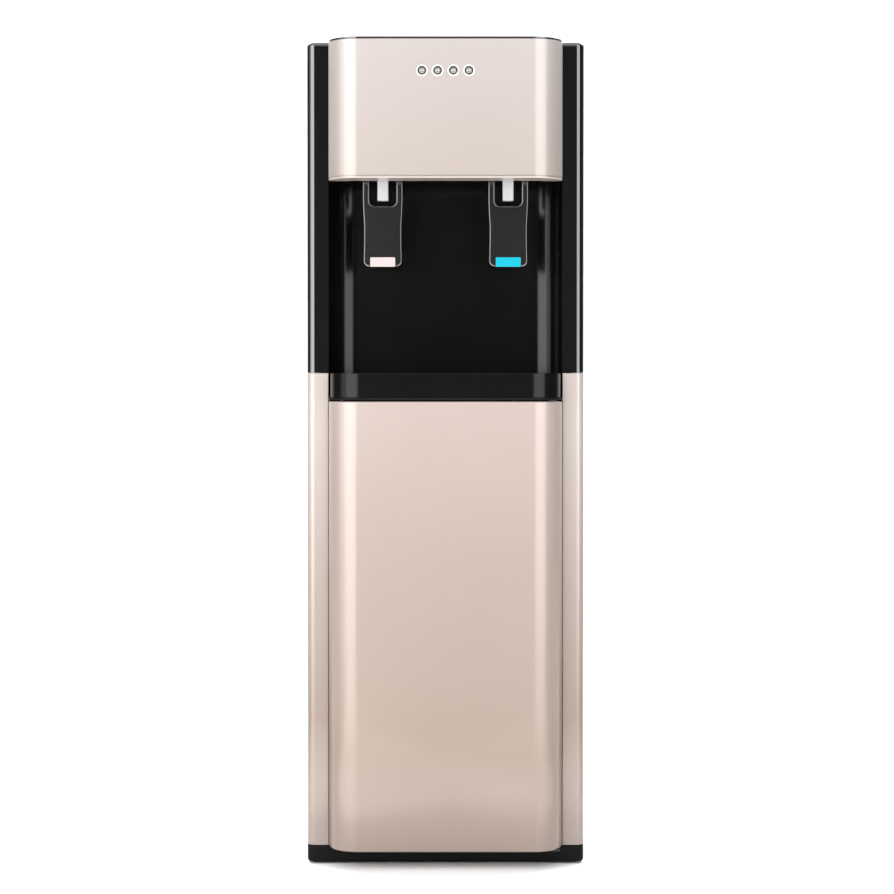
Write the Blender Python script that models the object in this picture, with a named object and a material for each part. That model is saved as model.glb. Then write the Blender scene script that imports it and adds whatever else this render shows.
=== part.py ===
"""Floor-standing hot and cold water dispenser, plumbed in, with a filter cabinet behind a hinged door.

Metres. X to the right, Y to the back, Z up; the front faces -Y and the floor is at Z = 0.
"""

import math

import bmesh
import bpy
from mathutils import Vector

# ---- overall size ----
WIDTH = 0.320
HEIGHT = 0.950
FRONT_Y = -0.165
COLUMN_Y = -0.129
BACK_Y = 0.165
GAP = 0.0003
SHEET = 0.0025

# ---- plan of the bulging front ----
BAY_HALF = 0.1348
COLUMN_RADIUS = 0.009
REAR_RADIUS = 0.006
BULGE_RADIUS = 0.035

# ---- heights ----
FOOT_H = 0.002
PLINTH_TOP = 0.0215
DOOR_BOTTOM = 0.0218
DOOR_TOP = 0.5358
SHELF_BOTTOM = 0.5373
SHELF_TOP = 0.5402
TRAY_BOTTOM = 0.5405
TRAY_TOP = 0.5680
COLOUR_SPLIT = 0.5685
HEAD_BOTTOM = 0.7895
HEAD_TOP = 0.9472
COVER_BOTTOM = 0.9475

# ---- drip tray ----
TRAY_HALF = 0.1328
TRAY_BACK_Y = -0.062
TRAY_REAR_RADIUS = 0.028
BASIN_RADIUS = 0.020

# ---- cup niche ----
NICHE_BACK_Y = -0.060
NICHE_RADIUS = 0.030
NICHE_HALF = 0.1350
CEILING = 0.8075

# ---- taps ----
TAP_X = 0.0725
LEVER_TOP_HALF = 0.0233
LEVER_WAIST_HALF = 0.0219
LEVER_BOTTOM = 0.691
LEVER_TOP = 0.8035
LEVER_FRONT_Y = -0.124
LEVER_BACK_Y = -0.118
SLOT_HALF = 0.0155
SLOT_BOTTOM = 0.761
PIVOT_Y = -0.121
PIVOT_Z = 0.7985
PIN_RADIUS = 0.0015
NOZZLE_Y = -0.112
NOZZLE_RADIUS = 0.0064
MARKER_W = 0.029
MARKER_H = 0.011

# ---- door ----
HINGE_X = 0.1228
HINGE_Y = -0.143
HINGE_PIN_RADIUS = 0.0025
HINGE_HOLE_RADIUS = 0.0026

# ---- indicators ----
LIGHT_Z = 0.9114
LIGHT_PITCH = 0.0178
LIGHT_RADIUS = 0.0052

# ---- filters ----
FILTER_X = (-0.077, 0.0, 0.077)
FILTER_Y = -0.040
FILTER_RADIUS = 0.030


def clear_scene():
    for old in list(bpy.data.objects):
        bpy.data.objects.remove(old, do_unlink=True)


def make_material(name, colour, roughness, metallic=0.0):
    made = bpy.data.materials.new(name)
    made.use_nodes = True
    shader = made.node_tree.nodes["Principled BSDF"]
    shader.inputs["Base Color"].default_value = (*colour, 1.0)
    shader.inputs["Roughness"].default_value = roughness
    shader.inputs["Metallic"].default_value = metallic
    return made


# colour, roughness and metalness of every finish
FINISHES = {
    "rose_gold": ((0.73, 0.62, 0.56), 0.28, 0.25),
    "gloss_black": ((0.012, 0.012, 0.013), 0.12, 0.0),
    "satin_black": ((0.02, 0.02, 0.02), 0.45, 0.0),
    "rubber_black": ((0.015, 0.015, 0.015), 0.85, 0.0),
    "dark_grey": ((0.04, 0.04, 0.04), 0.4, 0.0),
    "off_white": ((0.80, 0.80, 0.78), 0.4, 0.0),
    "warm_white": ((0.90, 0.84, 0.83), 0.35, 0.0),
    "cyan": ((0.02, 0.62, 0.85), 0.35, 0.0),
    "bright_steel": ((0.62, 0.62, 0.63), 0.22, 1.0),
    "galvanised": ((0.45, 0.46, 0.47), 0.5, 1.0),
    "copper": ((0.72, 0.34, 0.19), 0.3, 1.0),
    "foam": ((0.78, 0.79, 0.80), 0.9, 0.0),
    "board_green": ((0.02, 0.18, 0.06), 0.5, 0.0),
    "lens": ((0.70, 0.72, 0.74), 0.15, 0.3),
    "blue_plastic": ((0.05, 0.20, 0.55), 0.4, 0.0),
    "red_plastic": ((0.60, 0.04, 0.03), 0.4, 0.0),
}


def finish_object(obj, finish, origin=None):
    """Give the object its own material, shade it, and move its origin to a joint axis."""
    colour, roughness, metallic = FINISHES[finish]
    obj.data.materials.append(make_material(obj.name, colour, roughness, metallic))
    obj.data.shade_smooth()
    obj.data.set_sharp_from_angle(angle=math.radians(35))
    if origin is not None:
        shift = Vector(origin)
        for vertex in obj.data.vertices:
            vertex.co -= shift
        obj.location = shift
    return obj


def object_from_bmesh(name, shape):
    bmesh.ops.recalc_face_normals(shape, faces=shape.faces)
    mesh = bpy.data.meshes.new(name)
    shape.to_mesh(mesh)
    shape.free()
    made = bpy.data.objects.new(name, mesh)
    bpy.context.scene.collection.objects.link(made)
    return made


def arc(centre, radius, start, end, steps):
    """Points on a circle, angles in degrees."""
    points = []
    for i in range(steps + 1):
        angle = math.radians(start + (end - start) * i / steps)
        points.append((centre[0] + radius * math.cos(angle), centre[1] + radius * math.sin(angle)))
    return points


def rounded_rectangle(x0, x1, y0, y1, radii, steps=6):
    """Plan outline with one radius per corner: front left, front right, back right, back left."""
    corners = (
        (x0, y0, 1, 1, 180),
        (x1, y0, -1, 1, 270),
        (x1, y1, -1, -1, 0),
        (x0, y1, 1, -1, 90),
    )
    outline = []
    for (x, y, sx, sy, start), radius in zip(corners, radii):
        if radius <= 0:
            outline.append((x, y))
        else:
            centre = (x + sx * radius, y + sy * radius)
            outline += arc(centre, radius, start, start + 90, steps)
    return outline


def bay_outline(half, front, back, radius, back_radius=0.0, steps=8):
    return rounded_rectangle(-half, half, front, back, (radius, radius, back_radius, back_radius), steps)


def prism(name, outline, low, high, axis="Z"):
    """A closed outline pushed along one axis: an XY outline along Z, XZ along Y, YZ along X."""
    place = {
        "Z": lambda a, b, t: (a, b, t),
        "Y": lambda a, b, t: (a, t, b),
        "X": lambda a, b, t: (t, a, b),
    }[axis]
    shape = bmesh.new()
    lower = [shape.verts.new(place(a, b, low)) for a, b in outline]
    upper = [shape.verts.new(place(a, b, high)) for a, b in outline]
    shape.faces.new(lower)
    shape.faces.new(upper)
    for i in range(len(outline)):
        j = (i + 1) % len(outline)
        shape.faces.new((lower[i], lower[j], upper[j], upper[i]))
    return object_from_bmesh(name, shape)


def block(name, x, y, z):
    return prism(name, [(x[0], y[0]), (x[1], y[0]), (x[1], y[1]), (x[0], y[1])], z[0], z[1])


def lathe(name, profile, centre, axis="Z", sides=24):
    """Spin (radius, height) pairs round an axis through the centre; heights run along that axis."""
    place = {
        "Z": lambda a, b, t: (centre[0] + a, centre[1] + b, centre[2] + t),
        "Y": lambda a, b, t: (centre[0] + a, centre[1] + t, centre[2] + b),
        "X": lambda a, b, t: (centre[0] + t, centre[1] + a, centre[2] + b),
    }[axis]
    shape = bmesh.new()
    rings = []
    for radius, height in profile:
        if radius <= 0:
            rings.append([shape.verts.new(place(0, 0, height))])
            continue
        angles = [math.tau * i / sides for i in range(sides)]
        rings.append([
            shape.verts.new(place(radius * math.cos(a), radius * math.sin(a), height)) for a in angles
        ])
    for lower, upper in zip(rings, rings[1:]):
        for i in range(sides):
            j = (i + 1) % sides
            low_pair = [lower[i % len(lower)], lower[j % len(lower)]]
            corners = low_pair + [upper[j % len(upper)], upper[i % len(upper)]]
            shape.faces.new(list(dict.fromkeys(corners)))
    for ring in (rings[0], rings[-1]):
        if len(ring) > 1:
            shape.faces.new(ring)
    return object_from_bmesh(name, shape)


def cylinder(name, centre, radius, low, high, axis="Z", sides=24):
    return lathe(name, ((radius, low), (radius, high)), centre, axis, sides)


def smooth_path(corners, radius, steps=4):
    """Points along a polyline whose corners are rounded."""
    points = [Vector(corners[0])]
    for before, corner, after in zip(corners, corners[1:], corners[2:]):
        corner = Vector(corner)
        start = corner + (Vector(before) - corner).normalized() * radius
        end = corner + (Vector(after) - corner).normalized() * radius
        for i in range(steps + 1):
            t = i / steps
            points.append(start * (1 - t) ** 2 + corner * 2 * t * (1 - t) + end * t ** 2)
    points.append(Vector(corners[-1]))
    return points


def tube(name, points, radius, sides=8):
    """A round solid swept along the points."""
    shape = bmesh.new()
    rings = []
    normal = None
    for i, point in enumerate(points):
        ahead = points[min(i + 1, len(points) - 1)]
        behind = points[max(i - 1, 0)]
        tangent = (ahead - behind).normalized()
        if normal is None:
            normal = tangent.orthogonal().normalized()
        normal = (normal - tangent * normal.dot(tangent)).normalized()
        side = tangent.cross(normal)
        ring = []
        for k in range(sides):
            angle = math.tau * k / sides
            ring.append(shape.verts.new(point + (normal * math.cos(angle) + side * math.sin(angle)) * radius))
        rings.append(ring)
    for lower, upper in zip(rings, rings[1:]):
        for k in range(sides):
            j = (k + 1) % sides
            shape.faces.new((lower[k], lower[j], upper[j], upper[k]))
    shape.faces.new(rings[0])
    shape.faces.new(rings[-1])
    return object_from_bmesh(name, shape)


def boolean(target, other, operation):
    modifier = target.modifiers.new(other.name, "BOOLEAN")
    modifier.operation = operation
    modifier.solver = "EXACT"
    modifier.object = other
    other.hide_render = True
    other.display_type = "WIRE"


def cut(target, *cutters):
    for cutter in cutters:
        boolean(target, cutter, "DIFFERENCE")


def fuse(target, *pieces):
    for piece in pieces:
        boolean(target, piece, "UNION")


def bevel_edges(obj, chosen, width, segments):
    """Round the edges whose two end points pass the test."""
    shape = bmesh.new()
    shape.from_mesh(obj.data)
    edges = [e for e in shape.edges if chosen(*(v.co for v in e.verts))]
    bmesh.ops.bevel(
        shape, geom=edges, offset=width, segments=segments, profile=0.5, affect="EDGES", clamp_overlap=True
    )
    bmesh.ops.recalc_face_normals(shape, faces=shape.faces)
    shape.to_mesh(obj.data)
    shape.free()


def at_height(z):
    return lambda a, b: abs(a.z - z) < 1e-6 and abs(b.z - z) < 1e-6


def joint_axis(name, point):
    """An empty on a joint axis, the parent of what turns about it."""
    made = bpy.data.objects.new(name, None)
    made.location = point
    bpy.context.scene.collection.objects.link(made)
    return made


def hang_on(parent, *children):
    for child in children:
        child.parent = parent
        child.location = child.location - parent.location


# ---------------------------------------------------------------- base
def build_base():
    outline = rounded_rectangle(
        -WIDTH / 2, WIDTH / 2, COLUMN_Y, BACK_Y, (COLUMN_RADIUS, COLUMN_RADIUS, REAR_RADIUS, REAR_RADIUS)
    )
    plinth = prism("base_plinth", outline, FOOT_H, PLINTH_TOP)
    bevel_edges(plinth, at_height(FOOT_H), 0.0030, 3)
    hollow = block("cutter_plinth", (-0.157, 0.157), (-0.126, 0.162), (-0.01, PLINTH_TOP - 0.004))
    seat = block("cutter_hinge_seat", (0.1112, 0.1335), (-0.14, -0.1045), (0.0192, 0.03))
    cut(plinth, hollow, seat)
    finish_object(plinth, "satin_black")
    for side, x in (("left", -0.125), ("right", 0.125)):
        for end, y in (("front", -0.090), ("rear", 0.130)):
            profile = ((0.0125, 0.0), (0.0140, 0.0015), (0.0140, 0.0060), (0.0110, 0.0080), (0.0110, 0.0172))
            foot = lathe(f"foot_{end}_{side}", profile, (x, y, 0.0), sides=20)
            finish_object(foot, "rubber_black")


# ---------------------------------------------------------------- side columns
def build_side(side, sign):
    x_out = sign * WIDTH / 2
    x_in = sign * BAY_HALF
    x0, x1 = sorted((x_out, x_in))
    radii = (0, COLUMN_RADIUS, REAR_RADIUS, 0) if sign > 0 else (COLUMN_RADIUS, 0, 0, REAR_RADIUS)
    outline = rounded_rectangle(x0, x1, COLUMN_Y, BACK_Y, radii)
    hollow_x = sorted((sign * (WIDTH / 2 - SHEET), sign * 0.12))
    hollow_radii = [max(radius - SHEET, 0) for radius in radii]
    hollow = rounded_rectangle(*hollow_x, COLUMN_Y + SHEET, BACK_Y - SHEET, hollow_radii)

    lower = prism(f"{side}_lower_side_panel", outline, DOOR_BOTTOM, COLOUR_SPLIT - GAP)
    cut(lower, prism(f"cutter_{side}_lower", hollow, 0.0, 0.6))
    finish_object(lower, "rose_gold")

    upper = prism(f"{side}_upper_side_panel", outline, COLOUR_SPLIT, HEIGHT)

    def outer_top(a, b):
        inner = abs(a.x - x_in) < 1e-6 and abs(b.x - x_in) < 1e-6
        return abs(a.z - HEIGHT) < 1e-6 and abs(b.z - HEIGHT) < 1e-6 and not inner

    bevel_edges(upper, outer_top, 0.0048, 4)
    cut(upper, prism(f"cutter_{side}_upper", hollow, 0.5, HEIGHT - SHEET))
    finish_object(upper, "gloss_black")


# ---------------------------------------------------------------- covers
def slot_row(name, xs, zs, width, height, depth):
    """Straight cutters for a grid of vent slots."""
    made = []
    for i, x in enumerate(xs):
        for j, z in enumerate(zs):
            span = (x - width / 2, x + width / 2)
            made.append(block(f"{name}_{i}_{j}", span, depth, (z - height / 2, z + height / 2)))
    return made


def build_covers():
    top = prism("top_cover", bay_outline(BAY_HALF - GAP, FRONT_Y, BACK_Y, BULGE_RADIUS), COVER_BOTTOM, HEIGHT)
    bevel_edges(top, at_height(HEIGHT), 0.0009, 2)
    finish_object(top, "gloss_black")

    half = BAY_HALF - GAP
    plate = (BACK_Y - SHEET, BACK_Y)
    through = (BACK_Y - 0.01, BACK_Y + 0.01)
    upper = block("rear_upper_cover", (-half, half), plate, (COLOUR_SPLIT, HEAD_TOP))
    rows = [0.88 + 0.010 * i for i in range(5)]
    vents = slot_row("cutter_vent", (-0.07, 0.0, 0.07), rows, 0.050, 0.004, through)
    cut(upper, *vents)
    for name, x in (("hot", 0.100), ("cold", 0.066)):
        cut(upper, block(f"cutter_{name}_switch", (x - 0.0102, x + 0.0102), through, (0.6918, 0.7082)))
    finish_object(upper, "satin_black")

    lower = block("rear_lower_panel", (-half, half), plate, (DOOR_BOTTOM, COLOUR_SPLIT - GAP))
    rows = [0.22 + 0.024 * i for i in range(12)]
    vents = slot_row("cutter_louvre", (-0.06, 0.06), rows, 0.085, 0.006, through)
    cut(lower, *vents)
    cut(lower, block("cutter_inlet", (-0.1043, -0.0757), through, (0.0748, 0.0952)))
    cut(lower, cylinder("cutter_water", (0.10, BACK_Y, 0.085), 0.0113, -0.01, 0.01, "Y"))
    cut(lower, cylinder("cutter_drain", (0.05, BACK_Y, 0.085), 0.0113, -0.01, 0.01, "Y"))
    finish_object(lower, "satin_black")


# ---------------------------------------------------------------- head
def build_head():
    half = BAY_HALF - GAP
    back = COLUMN_Y + 0.0022
    head = prism("head_front_panel", bay_outline(half, FRONT_Y, back, BULGE_RADIUS), HEAD_BOTTOM, HEAD_TOP)
    bevel_edges(head, lambda a, b: at_height(HEAD_BOTTOM)(a, b) and min(a.y, b.y) < back - 1e-6, 0.0012, 2)
    inside = bay_outline(half - SHEET, FRONT_Y + SHEET, 0.0, BULGE_RADIUS - SHEET)
    cut(head, prism("cutter_head", inside, HEAD_BOTTOM + SHEET, 1.0))
    mouth = block("cutter_head_mouth", (-0.110, 0.110), (-0.1295, 0.0), (0.78, 0.80))
    cut(head, mouth)
    for i in range(4):
        x = (i - 1.5) * LIGHT_PITCH
        place = (x, FRONT_Y, LIGHT_Z)
        cut(head, cylinder(f"cutter_light_{i + 1}", place, LIGHT_RADIUS + 0.0003, -0.01, 0.01, "Y", 20))
        profile = (
            (0.0046, 0.0002), (LIGHT_RADIUS, 0.0006), (LIGHT_RADIUS, 0.0030), (0.0040, 0.0030),
            (0.0040, 0.0095),
        )
        light = lathe(f"indicator_light_{i + 1}", profile, place, "Y", 20)
        finish_object(light, "lens")
    finish_object(head, "rose_gold")
    board = block("indicator_board", (-0.045, 0.045), (-0.1552, -0.1536), (0.894, 0.929))
    finish_object(board, "board_green")


# ---------------------------------------------------------------- niche
def build_niche():
    wall = 0.0020
    outer = rounded_rectangle(
        -NICHE_HALF - wall, NICHE_HALF + wall, COLUMN_Y + SHEET + GAP, NICHE_BACK_Y + wall,
        (0, 0, NICHE_RADIUS + wall, NICHE_RADIUS + wall), 8
    )
    radii = (0, 0, NICHE_RADIUS, NICHE_RADIUS)
    inner = rounded_rectangle(-NICHE_HALF, NICHE_HALF, -0.20, NICHE_BACK_Y, radii, 8)
    liner = prism("niche_liner", outer, TRAY_BOTTOM, CEILING + wall)
    cut(liner, prism("cutter_niche", inner, 0.5, CEILING))
    for name, sign in (("hot", -1), ("cold", 1)):
        place = (sign * TAP_X, NOZZLE_Y, CEILING)
        cut(liner, cylinder(f"cutter_{name}_spigot", place, 0.0055, -0.01, 0.01))
    finish_object(liner, "gloss_black")

    outline = bay_outline(BAY_HALF - GAP, FRONT_Y, 0.160, BULGE_RADIUS)
    shelf = prism("mid_frame", outline, SHELF_BOTTOM, SHELF_TOP)
    finish_object(shelf, "satin_black")


# ---------------------------------------------------------------- drip tray
def tray_outline(inset, front_radius):
    rear_radius = TRAY_REAR_RADIUS - inset
    return rounded_rectangle(
        -TRAY_HALF + inset, TRAY_HALF - inset, FRONT_Y + inset, TRAY_BACK_Y - inset,
        (front_radius, front_radius, rear_radius, rear_radius), 8
    )


def build_tray():
    tray = prism("drip_tray", tray_outline(0.0, BULGE_RADIUS), TRAY_BOTTOM, TRAY_TOP)
    bevel_edges(tray, at_height(TRAY_TOP), 0.0010, 2)
    rim, wall = 0.0024, 0.0060
    cut(tray, prism("cutter_tray_rim", tray_outline(rim, BULGE_RADIUS - rim), 0.5646, 0.60))
    cut(tray, prism("cutter_tray_basin", tray_outline(wall, BASIN_RADIUS), TRAY_BOTTOM + SHEET, 0.60))
    finish_object(tray, "gloss_black", (0.0, FRONT_Y, TRAY_BOTTOM))

    clear = rim + GAP
    grille = prism("drip_grille", tray_outline(clear, BULGE_RADIUS - clear), 0.5649, 0.5676)
    count = 23
    for i in range(count):
        x = (i - (count - 1) / 2) * 0.0094
        front = 0.0 if abs(x) < 0.095 else 0.010
        outline = rounded_rectangle(x - 0.0018, x + 0.0018, -0.154 + front, -0.078, (0.0,) * 4)
        cut(grille, prism(f"cutter_bar_{i}", outline, 0.55, 0.58))
    finish_object(grille, "satin_black", (0.0, -0.113, 0.5649))
    hang_on(tray, grille)


# ---------------------------------------------------------------- door
def build_door():
    half = BAY_HALF - GAP
    back = COLUMN_Y - 0.0008
    shell = prism("door_shell", bay_outline(half, FRONT_Y, back, BULGE_RADIUS), DOOR_BOTTOM, DOOR_TOP)
    bevel_edges(shell, lambda a, b: at_height(DOOR_TOP)(a, b) and min(a.y, b.y) < back - 1e-6, 0.0012, 2)
    inside = bay_outline(half - SHEET, FRONT_Y + SHEET, 0.0, BULGE_RADIUS - SHEET)
    cut(shell, prism("cutter_door", inside, DOOR_BOTTOM + SHEET, DOOR_TOP - SHEET))
    axis = (HINGE_X, HINGE_Y, 0.0)
    cut(shell, cylinder("cutter_hinge", axis, HINGE_HOLE_RADIUS, 0.0, 0.6))

    liner = block("door_liner", (-0.1288, 0.1288), (-0.1328, -0.1300), (0.0260, 0.5316))
    recess = block("cutter_strike", (-0.1225, -0.0975), (-0.1310, -0.12), (0.2775, 0.3225))
    cut(liner, recess)
    strike = block("door_strike", (-0.1220, -0.0980), (-0.1307, -0.1290), (0.2780, 0.3220))

    finish_object(shell, "rose_gold")
    finish_object(liner, "off_white")
    finish_object(strike, "galvanised")
    hang_on(joint_axis("door_hinge_axis", (HINGE_X, HINGE_Y, 0.28)), shell, liner, strike)

    pin = lathe(
        "upper_hinge_pin",
        ((HINGE_PIN_RADIUS, 0.5270), (HINGE_PIN_RADIUS, 0.5361), (0.0050, 0.5361), (0.0050, 0.5370)),
        axis
    )
    finish_object(pin, "bright_steel")

    bracket = block("lower_hinge_bracket", (0.1140, 0.1316), (-0.1500, -0.1050), (0.0195, 0.0214))
    fuse(bracket, cylinder("piece_lower_pin", axis, HINGE_PIN_RADIUS, 0.0205, 0.0310))
    finish_object(bracket, "bright_steel")


# ---------------------------------------------------------------- filter cabinet
def build_cabinet():
    wall = 0.0020
    liner = block("cabinet_liner", (-0.132, 0.132), (-0.1235, 0.0300), (0.0280, 0.5340))
    cut(liner, block("cutter_cabinet", (-0.130, 0.130), (-0.2, 0.0300 - wall), (0.0300, 0.5320)))
    finish_object(liner, "off_white")

    magnet = block("door_magnet", (-0.1297, -0.0950), (-0.1284, -0.1150), (0.2800, 0.3200))
    finish_object(magnet, "dark_grey")

    manifold = block("filter_manifold", (-0.118, 0.118), (-0.062, 0.0277), (0.4450, 0.4850))
    for i, x in enumerate(FILTER_X):
        cut(manifold, cylinder(f"cutter_socket_{i}", (x, FILTER_Y, 0.0), 0.0163, 0.40, 0.470))
    fuse(manifold, block("piece_manifold_rail", (-0.110, 0.110), (-0.0560, 0.010), (0.4800, 0.4950)))
    finish_object(manifold, "dark_grey")

    for i, x in enumerate(FILTER_X):
        profile = (
            (0.020, 0.1400), (0.027, 0.1430), (FILTER_RADIUS, 0.1500), (FILTER_RADIUS, 0.4050),
            (0.0285, 0.4090), (0.0285, 0.4200), (0.024, 0.4300), (0.0160, 0.4360), (0.0160, 0.4680),
        )
        cartridge = lathe(f"filter_cartridge_{i + 1}", profile, (x, FILTER_Y, 0.0))
        lug_y = (FILTER_Y - 0.024, FILTER_Y + 0.024)
        lug = block(f"piece_grip_{i + 1}", (x - 0.004, x + 0.004), lug_y, (0.1250, 0.1450))
        fuse(cartridge, lug)
        finish_object(cartridge, "off_white", (x, FILTER_Y, 0.4500))


# ---------------------------------------------------------------- taps and levers
def lever_outline(x):
    """Front outline of one lever: rounded foot, slight waist, and a slot down its middle for the nozzle."""
    foot = arc((x - 0.0155, LEVER_BOTTOM + 0.007), 0.007, 180, 270, 5)
    foot += arc((x + 0.0155, LEVER_BOTTOM + 0.007), 0.007, 270, 360, 5)
    right = [
        (x + LEVER_WAIST_HALF, 0.722), (x + LEVER_WAIST_HALF, 0.738),
        (x + 0.0229, 0.752), (x + LEVER_TOP_HALF, 0.766), (x + LEVER_TOP_HALF, LEVER_TOP),
    ]
    slot = [(x + SLOT_HALF, LEVER_TOP)]
    slot += arc((x + SLOT_HALF - 0.006, SLOT_BOTTOM + 0.006), 0.006, 0, -90, 4)
    slot += arc((x - SLOT_HALF + 0.006, SLOT_BOTTOM + 0.006), 0.006, 270, 180, 4)
    slot += [(x - SLOT_HALF, LEVER_TOP)]
    left = [(2 * x - a, b) for a, b in reversed(right)]
    return foot + right + slot + left


def build_tap(name, sign, marker_finish):
    x = sign * TAP_X
    pivot = (x, PIVOT_Y, PIVOT_Z)
    lever = prism(f"{name}_lever", lever_outline(x), LEVER_FRONT_Y, LEVER_BACK_Y, "Y")
    bevel_edges(
        lever, lambda a, b: abs(a.y - LEVER_FRONT_Y) < 1e-6 and abs(b.y - LEVER_FRONT_Y) < 1e-6, 0.0010, 2
    )
    recess = block(
        f"cutter_{name}_marker", (x - MARKER_W / 2 - GAP, x + MARKER_W / 2 + GAP),
        (-0.13, LEVER_FRONT_Y + 0.0022), (0.68, LEVER_BOTTOM + MARKER_H + GAP)
    )
    cut(lever, recess)
    cut(lever, cylinder(f"cutter_{name}_lever_pin", pivot, PIN_RADIUS + 0.0001, -0.03, 0.03, "X", 16))
    marker = block(
        f"{name}_marker", (x - MARKER_W / 2, x + MARKER_W / 2),
        (LEVER_FRONT_Y + 0.0001, LEVER_FRONT_Y + 0.0019), (LEVER_BOTTOM, LEVER_BOTTOM + MARKER_H)
    )
    finish_object(lever, "dark_grey")
    finish_object(marker, marker_finish)
    hang_on(joint_axis(f"{name}_lever_axis", pivot), lever, marker)

    body = block(f"{name}_tap_body", (x - 0.0140, x + 0.0140), (-0.1265, -0.1000), (0.7930, 0.8072))
    fuse(body, cylinder(f"piece_{name}_spigot", (x, NOZZLE_Y, 0.0), 0.0050, 0.8050, 0.8180))
    cut(body, cylinder(f"cutter_{name}_bore", (x, NOZZLE_Y, 0.0), 0.0028, 0.78, 0.83))
    cut(body, cylinder(f"cutter_{name}_tap_pin", pivot, PIN_RADIUS + 0.0003, -0.03, 0.03, "X", 16))
    finish_object(body, "satin_black")

    pin = cylinder(f"{name}_lever_pin", pivot, PIN_RADIUS, -0.0230, 0.0230, "X", 16)
    finish_object(pin, "bright_steel")

    profile = (
        (0.0028, 0.7680), (0.0060, 0.7676), (NOZZLE_RADIUS, 0.7682), (NOZZLE_RADIUS, 0.7905),
        (0.0070, 0.7927), (0.0028, 0.7927),
    )
    nozzle = lathe(f"{name}_nozzle", profile, (x, NOZZLE_Y, 0.0))
    cut(nozzle, cylinder(f"cutter_{name}_nozzle", (x, NOZZLE_Y, 0.0), 0.0042, 0.75, 0.80))
    finish_object(nozzle, "bright_steel")


# ---------------------------------------------------------------- cold side and hot side
def build_tanks():
    cold_x, hot_x, tank_y = -0.066, 0.078, 0.056
    low = SHELF_TOP + GAP
    cold_foam = block("cold_tank_insulation", (cold_x - 0.064, cold_x + 0.064), (-0.008, 0.120), (low, 0.745))
    cut(cold_foam, cylinder("cutter_cold_foam", (cold_x, tank_y, 0.0), 0.0563, 0.5550, 0.80, sides=32))
    finish_object(cold_foam, "foam")
    profile = (
        (0.0400, 0.5553), (0.0560, 0.5640), (0.0560, 0.7300), (0.0500, 0.7420), (0.0300, 0.7500),
        (0.0080, 0.7520), (0.0080, 0.7640), (0.0050, 0.7640), (0.0050, 0.7740),
    )
    finish_object(lathe("cold_tank", profile, (cold_x, tank_y, 0.0), sides=28), "bright_steel")

    hot_foam = cylinder("hot_tank_insulation", (hot_x, tank_y, 0.0), 0.0520, low, 0.710, sides=28)
    cut(hot_foam, cylinder("cutter_hot_foam", (hot_x, tank_y, 0.0), 0.0423, 0.5500, 0.80, sides=28))
    finish_object(hot_foam, "foam")
    profile = (
        (0.0300, 0.5503), (0.0420, 0.5570), (0.0420, 0.7050), (0.0360, 0.7150), (0.0200, 0.7200),
        (0.0080, 0.7210), (0.0080, 0.7330), (0.0050, 0.7330), (0.0050, 0.7430),
    )
    finish_object(lathe("hot_tank", profile, (hot_x, tank_y, 0.0), sides=24), "bright_steel")

    for name, x, top, tap_x in (("cold", cold_x, 0.7743, TAP_X), ("hot", hot_x, 0.7433, -TAP_X)):
        lift = 0.850 if name == "cold" else 0.835
        run = 0.020 if name == "cold" else -0.020
        corners = [
            (x, tank_y, top), (x, tank_y, lift), (x, run, lift), (tap_x, run, lift),
            (tap_x, NOZZLE_Y, lift), (tap_x, NOZZLE_Y, 0.8183),
        ]
        hose = tube(f"{name}_hose", smooth_path(corners, 0.012), 0.0042)
        finish_object(hose, "off_white")


def build_cooling():
    profile = (
        (0.038, 0.0240), (0.049, 0.0290), (0.0525, 0.0450), (0.0525, 0.0780), (0.0545, 0.0790),
        (0.0545, 0.0850), (0.0525, 0.0860), (0.0525, 0.1250), (0.045, 0.1480), (0.028, 0.1600),
        (0.0, 0.1640),
    )
    compressor = lathe("compressor", profile, (-0.060, 0.0880, 0.0), sides=28)
    fuse(compressor, block("piece_mount_plate", (-0.124, 0.004), (0.068, 0.108), (0.0218, 0.0265)))
    finish_object(compressor, "satin_black")

    corners = []
    rows = 10
    for i in range(rows):
        z = 0.215 + 0.030 * i
        ends = ((-0.115, z), (0.115, z)) if i % 2 == 0 else ((0.115, z), (-0.115, z))
        corners += [(x, 0.1500, zz) for x, zz in ends]
    coil = tube("condenser_coil", smooth_path(corners, 0.0148, 4), 0.0026, 8)
    finish_object(coil, "copper")

    profile = (
        (0.012, -0.050), (0.022, -0.048), (0.024, -0.040), (0.024, 0.030), (0.018, 0.034), (0.018, 0.048),
    )
    pump = lathe("booster_pump", profile, (0.070, 0.095, 0.052), "X", 20)
    fuse(pump, block("piece_pump_foot", (0.045, 0.095), (0.077, 0.113), (0.0218, 0.0340)))
    finish_object(pump, "dark_grey")


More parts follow.
